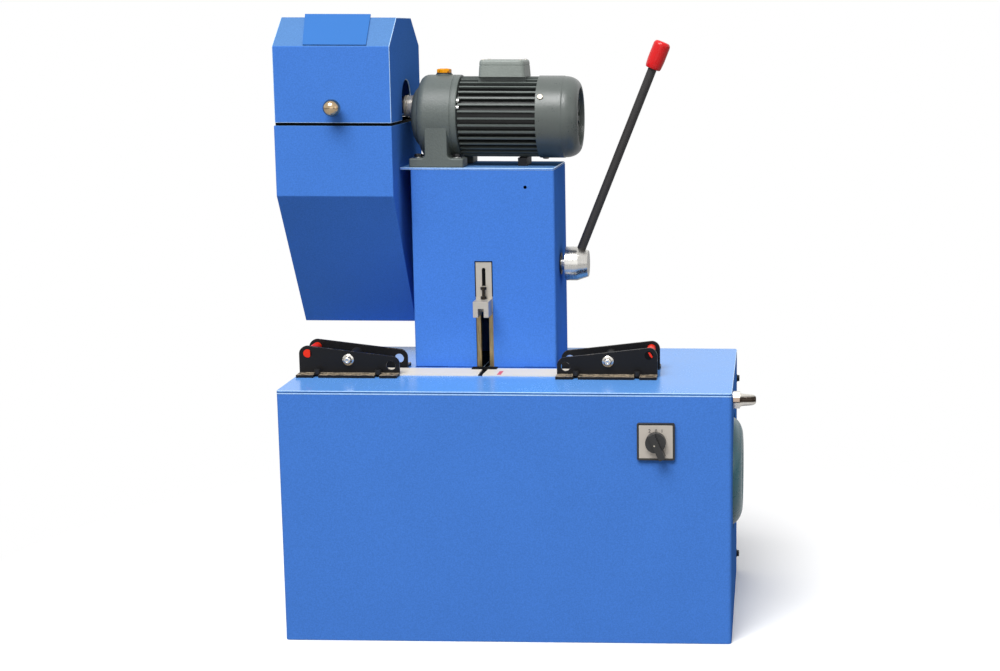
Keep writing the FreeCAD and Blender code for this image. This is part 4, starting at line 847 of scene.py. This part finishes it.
class MACHINE_OT_sheet_metal(bpy.types.Operator):
    """Blue powder coat on the folded cabinet, column and guard"""

    bl_idname = "machine.sheet_metal"
    bl_label = "Sheet metal"

    def execute(self, context):
        blue, edge = powder_blue(), size("sheet_round")
        for node in ("cabinet_shell", "rear_cover", "column_shell", "column_rear_cover", "guard_box"):
            dress(node, blue, edge, segments=3)
        for node, coat in (("guard_lid", blue), ("column_cap", blue), ("table_plate", table_blue())):
            # Rounded edges of the lid, cap and table take the pale fold blue: painted highlight.
            dress(node, coat, edge * 0.8, edge=fold_highlight_blue())
        dress("cover_posts", zinc_plate(), 0.4)
        self.raised_plate()
        self.seams()
        return {"FINISHED"}

    @staticmethod
    def raised_plate():
        """Skewed enamel plate on the front slope of the lid."""
        run, rise = 61, 50
        slope = np.array((0, run, rise)) / math.hypot(run, rise)
        outline = [(-362.5, 0), (-252.3, 0), (-258.1, 83.5), (-374.5, 83.5)]
        plate = slab_parts(outline, 2.5, (0, -39.4, 1015.3), RIGHT, slope)
        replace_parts(fit("lid_top_plate", [plate], plate_blue(), "lid", rounding=0.3), "lid_plate")

    @staticmethod
    def seams():
        """Dark seam under the table, a dark strip round the column's foot as painted shadow, and a pale strip
        below the seam as the fold's painted highlight.
        """
        half, proud, front = SIDE_X - 1, 0.25, FRONT_Y + 0.05
        seam = slab_parts(oblong(-half, 0, half, 1.1), proud, (0, front, 437.0), *UPRIGHT)
        foot = slab_parts(oblong(-191.5, 0, 63.5, 1.6), 0.3, (0, 5.0, TABLE_TOP), *UPRIGHT)
        fit("table_seam_and_foot_shadow", [seam, foot], shadow_blue())
        fold = slab_parts(oblong(-half, 0, half, 1.4), proud, (0, front, 434.2), *UPRIGHT)
        fit("front_fold_highlight", [fold], fold_highlight_blue())


class MACHINE_OT_cover_screws(bpy.types.Operator):
    """Socket screws and washers that hold the rear cover"""

    bl_idname = "machine.cover_screws"
    bl_label = "Cover screws"

    def execute(self, context):
        parts = []
        for side in (-1, 1):
            for z in (37, 385):
                out = (side, 0, 0)
                parts.append(washer_parts((side * SIDE_X, 183, z), out, 4.2, 7.6, 1.0))
                parts.append(socket_screw_parts((side * (SIDE_X + 0.6), 183, z), out, 6.0, 4.5))
        fit("cover_screws", parts, black_oxide())
        return {"FINISHED"}


class MACHINE_OT_hose_station(bpy.types.Operator):
    """Hose brackets with their screws, caps and sleeves, wear strip and throat"""

    bl_idname = "machine.hose_station"
    bl_label = "Hose station"

    def execute(self, context):
        dress("hose_brackets", bracket_black(), 0.7, edge=rubbed_edge())
        dress("tie_rods", sleeve_red())
        self.wear_strip()
        self.throat()
        self.sleeves()
        self.screws()
        self.cross_bolts()
        self.tie_rod_ends()
        return {"FINISHED"}

    @staticmethod
    def wear_strip():
        """Thin strip that runs on between the bracket plates, with the blade's slot."""
        front, rear, ledge, slot = -68.0, -12.5, -63.4, (-65.6, -57.8)
        outline = [(-238, ledge), (-205, ledge), (-205, front), (slot[0], front), (slot[0] - 0.8, rear - 1.5),
                   (slot[1] + 1.8, rear - 1.5), (slot[1], front), (75, front), (75, ledge), (108, ledge),
                   (108, rear), (-238, rear)]
        strip = slab_parts(outline, 2.4, (0, 0, TABLE_TOP), *LEVEL)
        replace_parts(fit("wear_strip_sheet", [strip], strip_white()), "wear_strip")

    @staticmethod
    def throat():
        """Dark bar in the throat behind the strip, a near-black sheet low in the slot as painted shade, and blue
        cover of its front end.
        """
        bar = slab_parts(oblong(-85.5, -22.0, -40.5, -6.0), 1.8, (0, 0, TABLE_TOP + 2.3), *LEVEL)
        slot_shade = slab_parts(oblong(-66.6, -67.6, -55.8, 4.8), 0.4, (0, 0, TABLE_TOP - 0.3), *LEVEL)
        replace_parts(fit("throat_bar_and_slot_shade", [bar, slot_shade], dark_void()), "throat_plate")
        inlay = slab_parts(oblong(-70.5, -81.5, -59.5, -67.9), 0.3, (0, 0, TABLE_TOP), *LEVEL)
        fit("slot_end_inlay", [inlay], table_blue())

    @staticmethod
    def sleeves():
        """Waisted nylon sleeves on the rollers: the radius dips along a parabola between two rims."""
        bore, rim, waist, middle, half = 5.3, 10.6, 2.0, 29.2, 27.0
        t = np.linspace(-1, 1, 15)
        hollow = np.stack([rim - waist * (1 - t * t), middle + half * t], 1)
        profile = [(bore, 0.2), (rim - 0.8, 0.2), (rim, 1.0), *hollow,
                   (rim, 57.4), (rim - 0.8, 58.2), (bore, 58.2)]
        for side, word in ((-1, "left"), (1, "right")):
            place = (CUT_X + side * ROLLER_REACH, -5.3, ROLLER_Z)
            sleeve = turned_parts(profile, place, FORWARD, closed=True)
            piece = fit(f"hose_sleeve_{word}", [sleeve], nylon_roller(), f"roller_{word}")
            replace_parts(piece, f"hose_roller_{word}")

    @staticmethod
    def screws():
        """Two rows of socket screws through the feet of the brackets."""
        head, rise = size("screw_head"), size("screw_rise")
        heads = [socket_screw_parts((CUT_X + side * reach, y, BRACKET_FOOT), UP, head, rise)
                 for side in (-1, 1) for reach in (174, 281) for y in (-81, 12)]
        fit("bracket_screws", heads, black_oxide())

    @staticmethod
    def cross_bolts():
        """Bolts that carry the rollers: cap in front, hexagon head at the rear and rod between them."""
        caps, rods = [], []
        for side in (-1, 1):
            x = CUT_X + side * ROLLER_REACH
            caps.append(dome_cap_parts((x, BRACKET_FRONT, ROLLER_Z), FORWARD, 10.0, 6.8, 10.0))
            caps.append(hex_bolt_parts((x, 0, ROLLER_Z), BACK, 17.0, 7.5))
            rods.append(bar_parts(5, -BRACKET_FRONT, (x, 0, ROLLER_Z), FORWARD))
        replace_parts(fit("cross_bolt_caps", caps, bright_chrome()), "cross_bolts")
        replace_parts(fit("cross_bolt_rods", rods, tool_steel()), "cross_bolts")

    @staticmethod
    def tie_rod_ends():
        """Near-black discs in the tie rods' holes as painted shade, each with the end of a red sleeve: a cut
        circle, and a torn leaf.
        """
        holes = [bar_parts(7.7, 0.12, (CUT_X + side * TIE_ROD_REACH, BRACKET_FRONT, TIE_ROD_Z), FORWARD)
                 for side in (-1, 1)]
        fit("tie_rod_hole_shade", holes, dark_void())
        arc = np.linspace(0.86, 2 * np.pi - 0.86, 26)
        round_end = 7.3 * np.stack([np.cos(arc), np.sin(arc)], 1)
        torn_end = [(-1.0, 5.4), (-0.6, 3.8), (2.0, -1.2), (5.2, -4.6), (6.9, -2.4), (4.4, 2.0), (1.8, 5.6)]
        ends = []
        for side, outline in ((-1, round_end), (1, torn_end)):
            place = (CUT_X + side * TIE_ROD_REACH, BRACKET_FRONT - 0.1, TIE_ROD_Z)
            ends.append(slab_parts(outline, 0.4, place, *UPRIGHT))
        fit("tie_rod_ends", ends, sleeve_red())


class MACHINE_OT_jaw(bpy.types.Operator):
    """Jaw with its slide plate, carriage, rails and bolt"""

    bl_idname = "machine.jaw"
    bl_label = "Jaw and slide"

    def execute(self, context):
        dress("slide_plate", milled_aluminium(), 0.3)
        dress("jaw_block", milled_aluminium(), size("block_round"))
        # The carriage behind the window is near black: painted shade.
        dress("jaw_carriage", dark_void(), 0.3)
        dress("slide_bolt", dark_bronze(), 0.3)
        dress("guide_rails", bronze_rail(), 0.3)
        # Near-black strips along the slide plate's sides and top: painted shade in the gap.
        gap_strips = [slab_parts(oblong(*corners), 0.5, (0, 4.9, 0), *UPRIGHT)
                  for corners in ((-80.9, 570.0, -79.3, 634.0), (-50.7, 570.0, -49.1, 634.0),
                                  (-79.3, 632.2, -50.7, 634.0))]
        fit("slide_gap_shade", gap_strips, dark_void())
        return {"FINISHED"}


class MACHINE_OT_guard_fittings(bpy.types.Operator):
    """Ball knob and hinge of the guard's lid"""

    bl_idname = "machine.guard_fittings"
    bl_label = "Guard fittings"

    def execute(self, context):
        self.knob()
        leaf = [slab_parts(oblong(-60, 3, 60, 38), 2.0, (LID_X, LID_REAR, 882), (-1, 0, 0), UP),
                bar_parts(4.0, 59.8, (LID_X, LID_REAR + 2, 879.5), RIGHT, steps=32)]
        leaf += [cross_screw_parts((LID_X + x, LID_REAR, 905), BACK, 4.2, 3.2) for x in (-45, 0, 45)]
        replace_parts(fit("lid_hinge_leaf", leaf, zinc_plate(), "lid"), "lid_fittings")
        dress("guard_hinge_base", zinc_plate(), 0.3)
        return {"FINISHED"}

    @staticmethod
    def knob():
        """Ball on a short neck: the ball's profile is an arc from below its middle up to the pole."""
        radius = size("knob_radius")
        middle = radius + 6
        angle = np.linspace(-1.12, math.pi / 2, 20)[:-1]
        ball = np.stack([radius * np.cos(angle), middle + radius * np.sin(angle)], 1)
        profile = [(0, 0), (8.6, 0), (8.6, 1.4), (7.4, 2.0), (6.4, 2.6), *ball, (0, middle + radius)]
        knob = turned_parts(profile, (LID_X + 5, -41, 909), FORWARD, steps=64)
        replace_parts(fit("lid_knob", [knob], knob_nickel(), "lid"), "lid_fittings")


class MACHINE_OT_guard_gap_shade(bpy.types.Operator):
    """Near-black band along the rim of the guard box, behind the gap under the lid: painted shade in the gap"""

    bl_idname = "machine.guard_seal"
    bl_label = "Guard seal"

    def execute(self, context):
        thick, height, base = 2, 11.6, 870.0
        rim = np.array(oblong(-415.5, -38.5, -214.5, 192.5))
        parts = []
        for start, end in zip(rim, np.roll(rim, -1, 0)):
            length = np.linalg.norm(end - start)
            along = (end - start) / length
            corners = [(0, 0), (length, 0), (length - thick, thick), (thick, thick)]
            parts.append(slab_parts(corners, height, (*start, base), (*along, 0), (-along[1], along[0], 0)))
        fit("guard_gap_shade", parts, dark_void())
        return {"FINISHED"}


class MACHINE_OT_gear_motor(bpy.types.Operator):
    """Cast gear housing, finned motor, terminal box and breather of the gearmotor"""

    bl_idname = "machine.gear_motor"
    bl_label = "Gearmotor"

    def execute(self, context):
        dress("motor_frame", fin_grey(), 0.5)
        dress("motor_rest", black_oxide(), 0.4)
        dress("gearmotor_rotor", black_plastic())
        self.housing()
        self.housing_foot()
        self.terminal_box()
        self.breather()
        self.foot_bolts()
        self.flange_screws()
        return {"FINISHED"}

    @staticmethod
    def housing():
        """Domed housing turned about the motor's axis, with the boss under its breather."""
        dome = [(0, 3.4), (24, 3.6), (36, 5.2), (44, 7.8), (49, 10.6), (52.2, 13.6), (53.4, 16.6), (54.2, 18.6),
                (56, 19.4), (61, 19.9), (66, 21.0), (70, 23.4), (73, 27.0), (74.6, 31.4), (75, 35.6)]
        joint = [(75, 80.6), (74.1, 81.4), (74.1, 82.8), (75, 83.6), (75, 90.6), (74.2, 92.2), (72, 93.0),
                 (0, 93.0)]
        shell = turned_parts([*dome, *joint], (HOUSING_LEFT, MOTOR_Y, MOTOR_Z), RIGHT, steps=96)
        boss_profile = [(0, 0), (15.0, 0), (15.0, 27.6), (14.4, 28.4), (0, 28.4)]
        boss = turned_parts(boss_profile, (PLUG_X, MOTOR_Y, 936), UP)
        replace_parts(fit("gear_housing_shell", [shell, boss], casting_grey()), "gear_housing")

    @staticmethod
    def housing_foot():
        """Two feet that rise into the housing, joined to it by round fillets, with a neck between them."""
        left, right, low, high, fillet = -173, -119, 817, 872, 7
        bend = np.linspace(0, np.pi / 2, 6)
        curve = np.stack([fillet * np.sin(bend), low + fillet - fillet * np.cos(bend)], 1)
        outline = [(-194, 801), (-98, 801), (-98, low), *((right, 0) + curve * (-1, 1)), (-126, high),
                   (-166, high), *((left, 0) + curve)[::-1], (-194, low)]
        parts = [slab_parts(outline, 44, (0, y, 0), *UPRIGHT) for y in (51, 152)]
        parts.append(slab_parts(oblong(-165.4, 801.6, -126.6, 871.4), 143, (0, 151, 0), *UPRIGHT))
        piece = fit("gear_housing_foot", parts, casting_grey(), rounding=size("casting_round"), segments=3)
        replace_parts(piece, "gear_housing")

    @staticmethod
    def terminal_box():
        """Cast box with leaning walls, a seam under its lid and four countersunk screws."""
        rows = [(84, 80, 9, 960.3), (81.4, 77.4, 9, 980.0), (80.2, 76.2, 8.6, 980.3), (80.2, 76.2, 8.6, 981.3),
                (81.2, 77.2, 9, 981.6), (80.6, 76.6, 9, 985.6), (79.6, 75.6, 8.6, 987.6), (77.6, 73.6, 8, 989.2),
                (74.6, 70.6, 7, 990.1), (71.0, 67.0, 6, 990.3)]
        box = loft_parts(rows, (BOX_X, MOTOR_Y))
        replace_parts(fit("terminal_box_casting", [box], box_grey()), "terminal_box")
        screws = [cross_screw_parts((BOX_X + sx * 33, MOTOR_Y + sy * 31, 989.4), UP, 3.4, 1.6)
                  for sx in (-1, 1) for sy in (-1, 1)]
        fit("terminal_box_screws", screws, dull_screw())

    @staticmethod
    def breather():
        """Amber cap with a hexagon under its round top, on a black ring."""
        profile = [(0, 1.6), (10.6, 1.6), (11.4, 2.2, 6), (11.4, 7.6, 6), (10.9, 8.8), (7.6, 9.4), (7.0, 8.6),
                   (0, 8.4)]
        plug = turned_parts(profile, (PLUG_X, MOTOR_Y, 964.5), UP, lean=0.35)
        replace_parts(fit("breather_cap", [plug], breather_amber()), "breather_plug")
        fit("breather_seal", [washer_parts((PLUG_X, MOTOR_Y, 964.4), UP, 3.0, 13.6, 1.9)], black_plastic())

    @staticmethod
    def foot_bolts():
        """Bolts and washers at the four corners of the housing's feet."""
        middle, along, across, top = -146, 34.5, 56, 817
        bolts, washers = [], []
        for sx in (-1, 1):
            for sy in (-1, 1):
                corner = (middle + sx * along, MOTOR_Y + sy * across)
                washers.append(washer_parts((*corner, top), UP, 5.0, 9.6, 1.8))
                bolts.append(hex_bolt_parts((*corner, top + 1.6), UP, 13.0, 5.6))
        fit("foot_washers", washers, zinc_plate())
        fit("foot_bolts", bolts, black_oxide())

    @staticmethod
    def flange_screws():
        """Two pairs of socket screws on a circle in the joint between housing and motor."""
        flange_x, reach = -108.8, 69.5
        screws = []
        for a in np.radians((16, 26.5, 153.5, 164)):
            place = (flange_x, MOTOR_Y - reach * math.cos(a), MOTOR_Z + reach * math.sin(a))
            screws.append(socket_screw_parts(place, RIGHT, 3.6, 4.6))
        fit("flange_screws", screws, zinc_plate())


class MACHINE_OT_fan_cowl(bpy.types.Operator):
    """Rounded fan cowl of the gearmotor with its grille and screws"""

    bl_idname = "machine.fan_cowl"
    bl_label = "Fan cowl"

    def execute(self, context):
        radius, start = size("cowl_radius"), (31, MOTOR_Y, MOTOR_Z)
        mouth = radius - 20
        self.shell(radius, mouth, start)
        grille = slotted_disc_parts((9.0, 17.0, mouth - 10.0, mouth - 2.0), 63.6, 65.8, 10, start, RIGHT)
        hub = turned_parts([(0, 63.6), (9.2, 63.6), (9.2, 66.0), (7.5, 67.2), (0, 67.6)], start, RIGHT)
        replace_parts(fit("fan_grille", [grille, hub], cowl_grey()), "fan_cowl")
        screws = []
        for a in np.radians((31, 149, 270)):
            out = np.array((0, -math.cos(a), math.sin(a)))
            screws.append(cross_screw_parts((39.7, MOTOR_Y, MOTOR_Z) + out * (radius - 0.4), out, 5.6, 2.6))
        fit("cowl_screws", screws, dull_screw())
        return {"FINISHED"}

    @staticmethod
    def shell(radius, mouth, start):
        """Thin wall that rounds over its shoulder to a mouth with a rolled lip, with the same curve inside."""
        wall, shoulder, length, seat = 1.8, 45.0, 73.6, 66.0
        outer = quarter(mouth, shoulder + 2, radius - 0.9 - mouth, length - shoulder - 2, 16)[:-1]
        inner = [(r - wall, h - wall) for r, h in outer[::-1] if h < seat]
        profile = [(radius - wall, 0), (radius, 0), (radius, shoulder - 1), (radius - 0.35, shoulder + 0.4),
                   (radius - 0.8, shoulder + 1.2), *outer, (mouth - 0.4, length), (mouth - 1.7, length - 0.5),
                   (mouth - 2.2, length - 2.0), (mouth - 2.2, seat), (mouth - 4.0, seat),
                   (mouth - 4.0, seat - wall), *inner, (radius - wall, shoulder)]
        shell = turned_parts(profile, start, RIGHT, steps=96, closed=True)
        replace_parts(fit("fan_cowl_shell", [shell], cowl_grey()), "fan_cowl")


class MACHINE_OT_cutting_drive(bpy.types.Operator):
    """Cutting motor behind the right wall, its drive, arbor and blade"""

    bl_idname = "machine.cutting_drive"
    bl_label = "Cutting drive"

    def execute(self, context):
        teal = motor_teal()
        dress("cutting_motor_frame", teal, 0.5)
        dress("motor_base", black_oxide(), 0.5)
        dress("arbor_housing", teal, 1.5)
        dress("drive_case", black_oxide(), 1.0)
        dress("blade_arbor", tool_steel())
        dress("cutting_rotor", black_plastic())
        self.cowl(teal)
        return {"FINISHED"}

    @staticmethod
    def cowl(teal):
        """Plain cowl: a tube that rounds over to its mouth, with a slotted grille and a hub in it."""
        radius, start = size("motor_cowl_radius"), (321, -30, 262)
        wall, shoulder, seat = 1.8, 36, 74.0
        mouth = radius - shoulder
        outer = quarter(mouth, 54, shoulder, 26, 14)
        inner = [(r - wall, h - wall) for r, h in outer[::-1] if h < seat - 1]
        profile = [(radius - wall, 0), (radius, 0), *outer, (mouth - 1, 79.2), (mouth - 1, seat),
                   (mouth - 3, seat), (mouth - 3, seat - 2), *inner, (radius - wall, 50)]
        shell = turned_parts(profile, start, RIGHT, steps=96, closed=True)
        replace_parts(fit("motor_cowl_shell", [shell], teal), "cutting_motor_cowl")
        grille = slotted_disc_parts((12.0, 22.0, mouth - 10.0, mouth - 0.8), 71.6, seat, 12, start, RIGHT)
        hub = turned_parts([(0, 71.6), (12.2, 71.6), (12.2, 74.2), (10.0, 75.6), (0, 76.0)], start, RIGHT)
        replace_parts(fit("motor_grille", [grille, hub], teal), "cutting_motor_cowl")


class MACHINE_OT_lever(bpy.types.Operator):
    """Lever with turned hub, black rod and red grip"""

    bl_idname = "machine.lever"
    bl_label = "Lever"

    def execute(self, context):
        dress("lever_shaft", turned_steel(), 0.6)
        dress("lever_bearings", tool_steel(), 0.6)
        self.rod_and_grip()
        # Black ring round the shaft on the wall: painted shade of the recess round the shaft.
        seal = washer_parts((64, MOTOR_Y, LEVER_Z), RIGHT, 14.0, 20.0, 1.6)
        fit("shaft_shade_ring", [seal], black_plastic())
        low, high = 30.5, 31.22
        lines = [turned_parts([(low, h), (high, h + 0.1), (high, h + 0.5), (low, h + 0.6)],
                              (74, MOTOR_Y, LEVER_Z), RIGHT, steps=72, closed=True) for h in (2.0, 12.5)]
        fit("hub_lines", lines, turned_steel(), "lever")
        return {"FINISHED"}

    @staticmethod
    def rod_and_grip():
        """Straight rod that leans to the right, and the grip on it with a soft lip and a rounded top."""
        lean = math.radians(22)
        foot, axis = (91, MOTOR_Y, LEVER_Z), (math.sin(lean), 0, math.cos(lean))
        rod, grip = size("rod_radius"), size("grip_radius")
        rod_profile = [(0, 18), (rod, 18), (rod, 389), (rod - 0.8, 390), (0, 390)]
        rod_piece = fit("lever_rod", [turned_parts(rod_profile, foot, axis)], rod_black(), "lever")
        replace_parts(rod_piece, "lever_handle")
        lip = [(rod + 0.2, 383), (grip * 0.72, 382.2), (grip * 0.86, 383.2), (grip * 0.93, 386),
               (grip * 0.965, 391)]
        top = quarter(grip * 0.62, 426, grip * 0.38, 8, 9)
        grip_profile = [(rod + 0.2, 389), *lip, (grip, 400), (grip, 420), *top, (0, 434.4)]
        grip_parts = turned_parts(grip_profile, foot, axis, steps=64)
        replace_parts(fit("lever_grip", [grip_parts], grip_red(), "lever"), "lever_handle")


class MACHINE_OT_switch(bpy.types.Operator):
    """Cam switch with its silver face, three position marks and pointer knob"""

    bl_idname = "machine.switch"
    bl_label = "Cam switch"

    def execute(self, context):
        plastic = black_plastic()
        dress("switch_plate", plastic, 0.8)
        dress("switch_knob", plastic, 1.0, segments=3)
        face_y, thick = -200.2, 0.25
        face = slab_parts(rounded_outline(57, 57, 1.2), thick, (SWITCH_X, face_y, SWITCH_Z), *UPRIGHT)
        fit("switch_face", [face], switch_silver(), rounding=0.1, segments=1)
        for mark, x in (("2", -10.5), ("0", 0.5), ("1", 10.5)):
            self.engrave(mark, (SWITCH_X + x, face_y - thick, SWITCH_Z + 18.5), plastic)
        turn = math.radians(24)
        place = (SWITCH_X - 1.2 - 0.5 * math.sin(turn), -219.5, SWITCH_Z - 3.0 + 0.5 * math.cos(turn))
        dot = turned_parts([(0, 0), (1.2, 0), (1.0, 0.25), (0, 0.3)], place, FORWARD, steps=24)
        fit("switch_dot", [dot], strip_white(), "switch")
        return {"FINISHED"}

    @staticmethod
    def engrave(mark, place, material):
        """A figure as a thin mesh that stands on the face, centred on a place in millimetres."""
        curve = bpy.data.curves.new("figure", "FONT")
        curve.body = mark
        curve.size, curve.extrude, curve.offset = 8.0 * MM, 0.06 * MM, 0.12 * MM
        curve.align_x = "CENTER"
        curve.align_y = "CENTER"
        writer = bpy.data.objects.new("figure", curve)
        bpy.context.scene.collection.objects.link(writer)
        bpy.context.view_layer.update()
        mesh = bpy.data.meshes.new_from_object(writer.evaluated_get(bpy.context.evaluated_depsgraph_get()))
        bpy.data.objects.remove(writer)
        mesh.transform(Matrix.Translation(Vector(place) * MM) @ Matrix.Rotation(math.radians(90), 4, "X"))
        mesh.name = f"switch_mark_{mark}"
        piece = bpy.data.objects.new(f"switch_mark_{mark}", mesh)
        bpy.context.scene.collection.objects.link(piece)
        settle(piece, material, "frame")


class MACHINE_OT_air_line(bpy.types.Operator):
    """Chromed air nipple on the right wall"""

    bl_idname = "machine.air_line"
    bl_label = "Air nipple"

    def execute(self, context):
        profile = [(4, -9), (7, -9), (7, 0), (12.4, 0), (13.5, 0.9, 6), (13.5, 12.1, 6), (12.4, 13.2),
                   (11.4, 14.2), (10.7, 16.5), (10.3, 20), (9.4, 32.0), (9.0, 34.0), (8.2, 36.4), (7.0, 38.4),
                   (5.6, 39.6), (4.6, 40.0), (3.6, 39.4), (3.4, 34.0), (4, 20)]
        nipple = turned_parts(profile, (SIDE_X, -135, 416), RIGHT, steps=72, closed=True)
        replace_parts(fit("air_nipple_body", [nipple], nipple_chrome()), "air_nipple")
        return {"FINISHED"}


class MACHINE_OT_skiving(bpy.types.Operator):
    """Skiving head, tool holder and spindle inside the guard"""

    bl_idname = "machine.skiving"
    bl_label = "Skiving head"

    def execute(self, context):
        dress("skiving_head", turned_steel(), 0.5)
        bore, rim = 17.5, 19.8
        profile = [(bore, 0), (rim - 0.4, 0), (rim, 0.5), (rim, 5.0), (rim - 1.2, 5.6), (rim - 1.2, 8.0),
                   (rim, 8.6), (rim, 15), (bore, 15)]
        collar = turned_parts(profile, (-213.5, MOTOR_Y, SPINDLE_Z), RIGHT, steps=72, closed=True)
        fit("spindle_collar", [collar], collar_steel(), "spindle")
        dress("tool_holder", tool_steel(), 0.4)
        return {"FINISHED"}


class MACHINE_OT_studio(bpy.types.Operator):
    """Camera at the photograph's angle, pale floor and soft lamps"""

    bl_idname = "machine.studio"
    bl_label = "Studio"

    def execute(self, context):
        scene = context.scene
        settings = scene.machine_studio
        self.camera(scene, settings.lens)
        scene.view_settings.view_transform = "Standard"
        self.lamp(scene, "key_lamp", settings.key, (-1.5, -5.2, 8.0), (0.0, 0.0, 0.5), 5.8, 4.4)
        self.lamp(scene, "fill_lamp", settings.fill, (0.5, -3.4, 1.3), (0.0, 0.0, 0.55), 2.6, 1.6)
        self.lamp(scene, "side_lamp", settings.side, (2.8, -1.2, 1.3), (0.0, 0.0, 0.6), 1.4, 1.4)
        self.sky(scene)
        self.ground(settings)
        return {"FINISHED"}

    @staticmethod
    def camera(scene, focal_length):
        """Camera where the photograph was taken from, turned, tilted and rolled in degrees."""
        lens = bpy.data.cameras.new("photo_camera")
        lens.lens, lens.sensor_width = focal_length, 36
        lens.shift_x, lens.shift_y = -0.24, -0.06
        lens.clip_start, lens.clip_end = 0.05, 50
        camera = bpy.data.objects.new("photo_camera", lens)
        scene.collection.objects.link(camera)
        turn, tilt, roll = (math.radians(a) for a in (1.121, 81.402, 0.15))
        camera.matrix_world = (Matrix.Translation((0.4497, -2.8386, 1.0407)) @ Matrix.Rotation(turn, 4, "Z")
                               @ Matrix.Rotation(tilt, 4, "X") @ Matrix.Rotation(roll, 4, "Z"))
        scene.camera = camera

    @staticmethod
    def lamp(scene, name, watts, place, target, width, height):
        """Rectangular soft lamp that faces a target."""
        data = bpy.data.lights.new(name, "AREA")
        data.shape = "RECTANGLE"
        data.size, data.size_y, data.energy = width, height, watts
        lamp = bpy.data.objects.new(name, data)
        scene.collection.objects.link(lamp)
        lamp.location = place
        lamp.rotation_euler = (Vector(target) - Vector(place)).to_track_quat("-Z", "Y").to_euler()

    @staticmethod
    def rays(tree):
        """Masks of the rays that come straight to the camera or through glass, and of the reflected ones."""
        path = add(tree, "ShaderNodeLightPath").outputs
        seen = calculate(tree, "MAXIMUM", path["Is Camera Ray"], path["Is Transmission Ray"])
        return seen, path["Is Glossy Ray"]

    @classmethod
    def sky(cls, scene):
        """White to the camera and in reflections; to matt surfaces pale from above and dark from below."""
        world = bpy.data.worlds.new("studio_world")
        scene.world = world
        world.use_nodes = True
        tree = world.node_tree
        tree.nodes.clear()
        up = axis_of(tree, "Z", "Generated")
        seen, glossy = cls.rays(tree)
        matt, sheen = ramp(tree, up, -0.35, 0.6, 0.03, 0.6), ramp(tree, up, -0.12, 0.12, 0.2, 1.0)
        strength = between(tree, seen, between(tree, glossy, matt, sheen), 1.0)
        glow = add(tree, "ShaderNodeBackground", {"Color": (1, 1, 1, 1), "Strength": strength})
        add(tree, "ShaderNodeOutputWorld", {"Surface": glow.outputs[0]})

    @classmethod
    def ground(cls, settings):
        """Round floor: pale near the machine and white further out to the camera, mid grey to bounced light."""
        below = -0.4
        points, faces = turned_parts([(r, below) for r in (0, 200, 900, 2500, 7000)], (0, 0, 0), UP, steps=96)
        floor = joined("studio_floor", [(points, [face[::-1] for face in faces])])
        material, tree, shader, out = new_material("pale_floor", {"Specular IOR Level": 0.1})
        tree.links.new(ramp(tree, noise(tree, 40.0, 3.0), 0.0, 1.0, 0.75, 0.9), shader.inputs["Roughness"])
        seen, glossy = cls.rays(tree)
        bounced = blend(tree, glossy, (0.14, 0.14, 0.14), (0.5, 0.5, 0.5))
        tree.links.new(blend(tree, seen, bounced, settings.floor), shader.inputs["Base Color"])
        reach = calculate_vector(tree, "LENGTH", object_point(tree))["Value"]
        white = product(tree, ramp(tree, reach, 0.5, 1.1), seen)
        glow = add(tree, "ShaderNodeEmission", {"Color": (1, 1, 1, 1), "Strength": 1.0})
        faded = add(tree, "ShaderNodeMixShader", {0: white, 1: shader.outputs[0], 2: glow.outputs[0]})
        tree.links.new(faded.outputs[0], out.inputs["Surface"])
        floor.data.materials.append(material)


class MACHINE_PT_panel(bpy.types.Panel):
    """The machine's pieces, colours and sizes"""

    bl_idname = "MACHINE_PT_panel"
    bl_label = "Hose Machine"
    bl_space_type = "VIEW_3D"
    bl_region_type = "UI"
    bl_category = "Hose Machine"

    def draw(self, context):
        for operator in OPERATORS:
            self.layout.operator(operator.bl_idname)
        for group in GROUPS:
            box = self.layout.box()
            settings = getattr(context.scene, group)
            for name in type(settings).__annotations__:
                box.prop(settings, name)


OPERATORS = (
    MACHINE_OT_sheet_metal, MACHINE_OT_cover_screws, MACHINE_OT_hose_station, MACHINE_OT_jaw,
    MACHINE_OT_guard_fittings, MACHINE_OT_guard_gap_shade, MACHINE_OT_gear_motor, MACHINE_OT_fan_cowl,
    MACHINE_OT_cutting_drive, MACHINE_OT_lever, MACHINE_OT_switch, MACHINE_OT_air_line, MACHINE_OT_skiving,
    MACHINE_OT_studio,
)
GROUPS = {"machine_colours": MachineColours, "machine_sizes": MachineSizes, "machine_studio": StudioSettings}
CLASSES = (*GROUPS.values(), *OPERATORS, MACHINE_PT_panel)


def register():
    for item in CLASSES:
        bpy.utils.register_class(item)
    for name, group in GROUPS.items():
        setattr(bpy.types.Scene, name, bpy.props.PointerProperty(type=group))


def unregister():
    for name in GROUPS:
        delattr(bpy.types.Scene, name)
    for item in reversed(CLASSES):
        bpy.utils.unregister_class(item)


def main():
    """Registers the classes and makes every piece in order."""
    register()
    for operator in OPERATORS:
        family, name = operator.bl_idname.split(".")
        getattr(getattr(bpy.ops, family), name)()


if __name__ == "__main__":
    main()
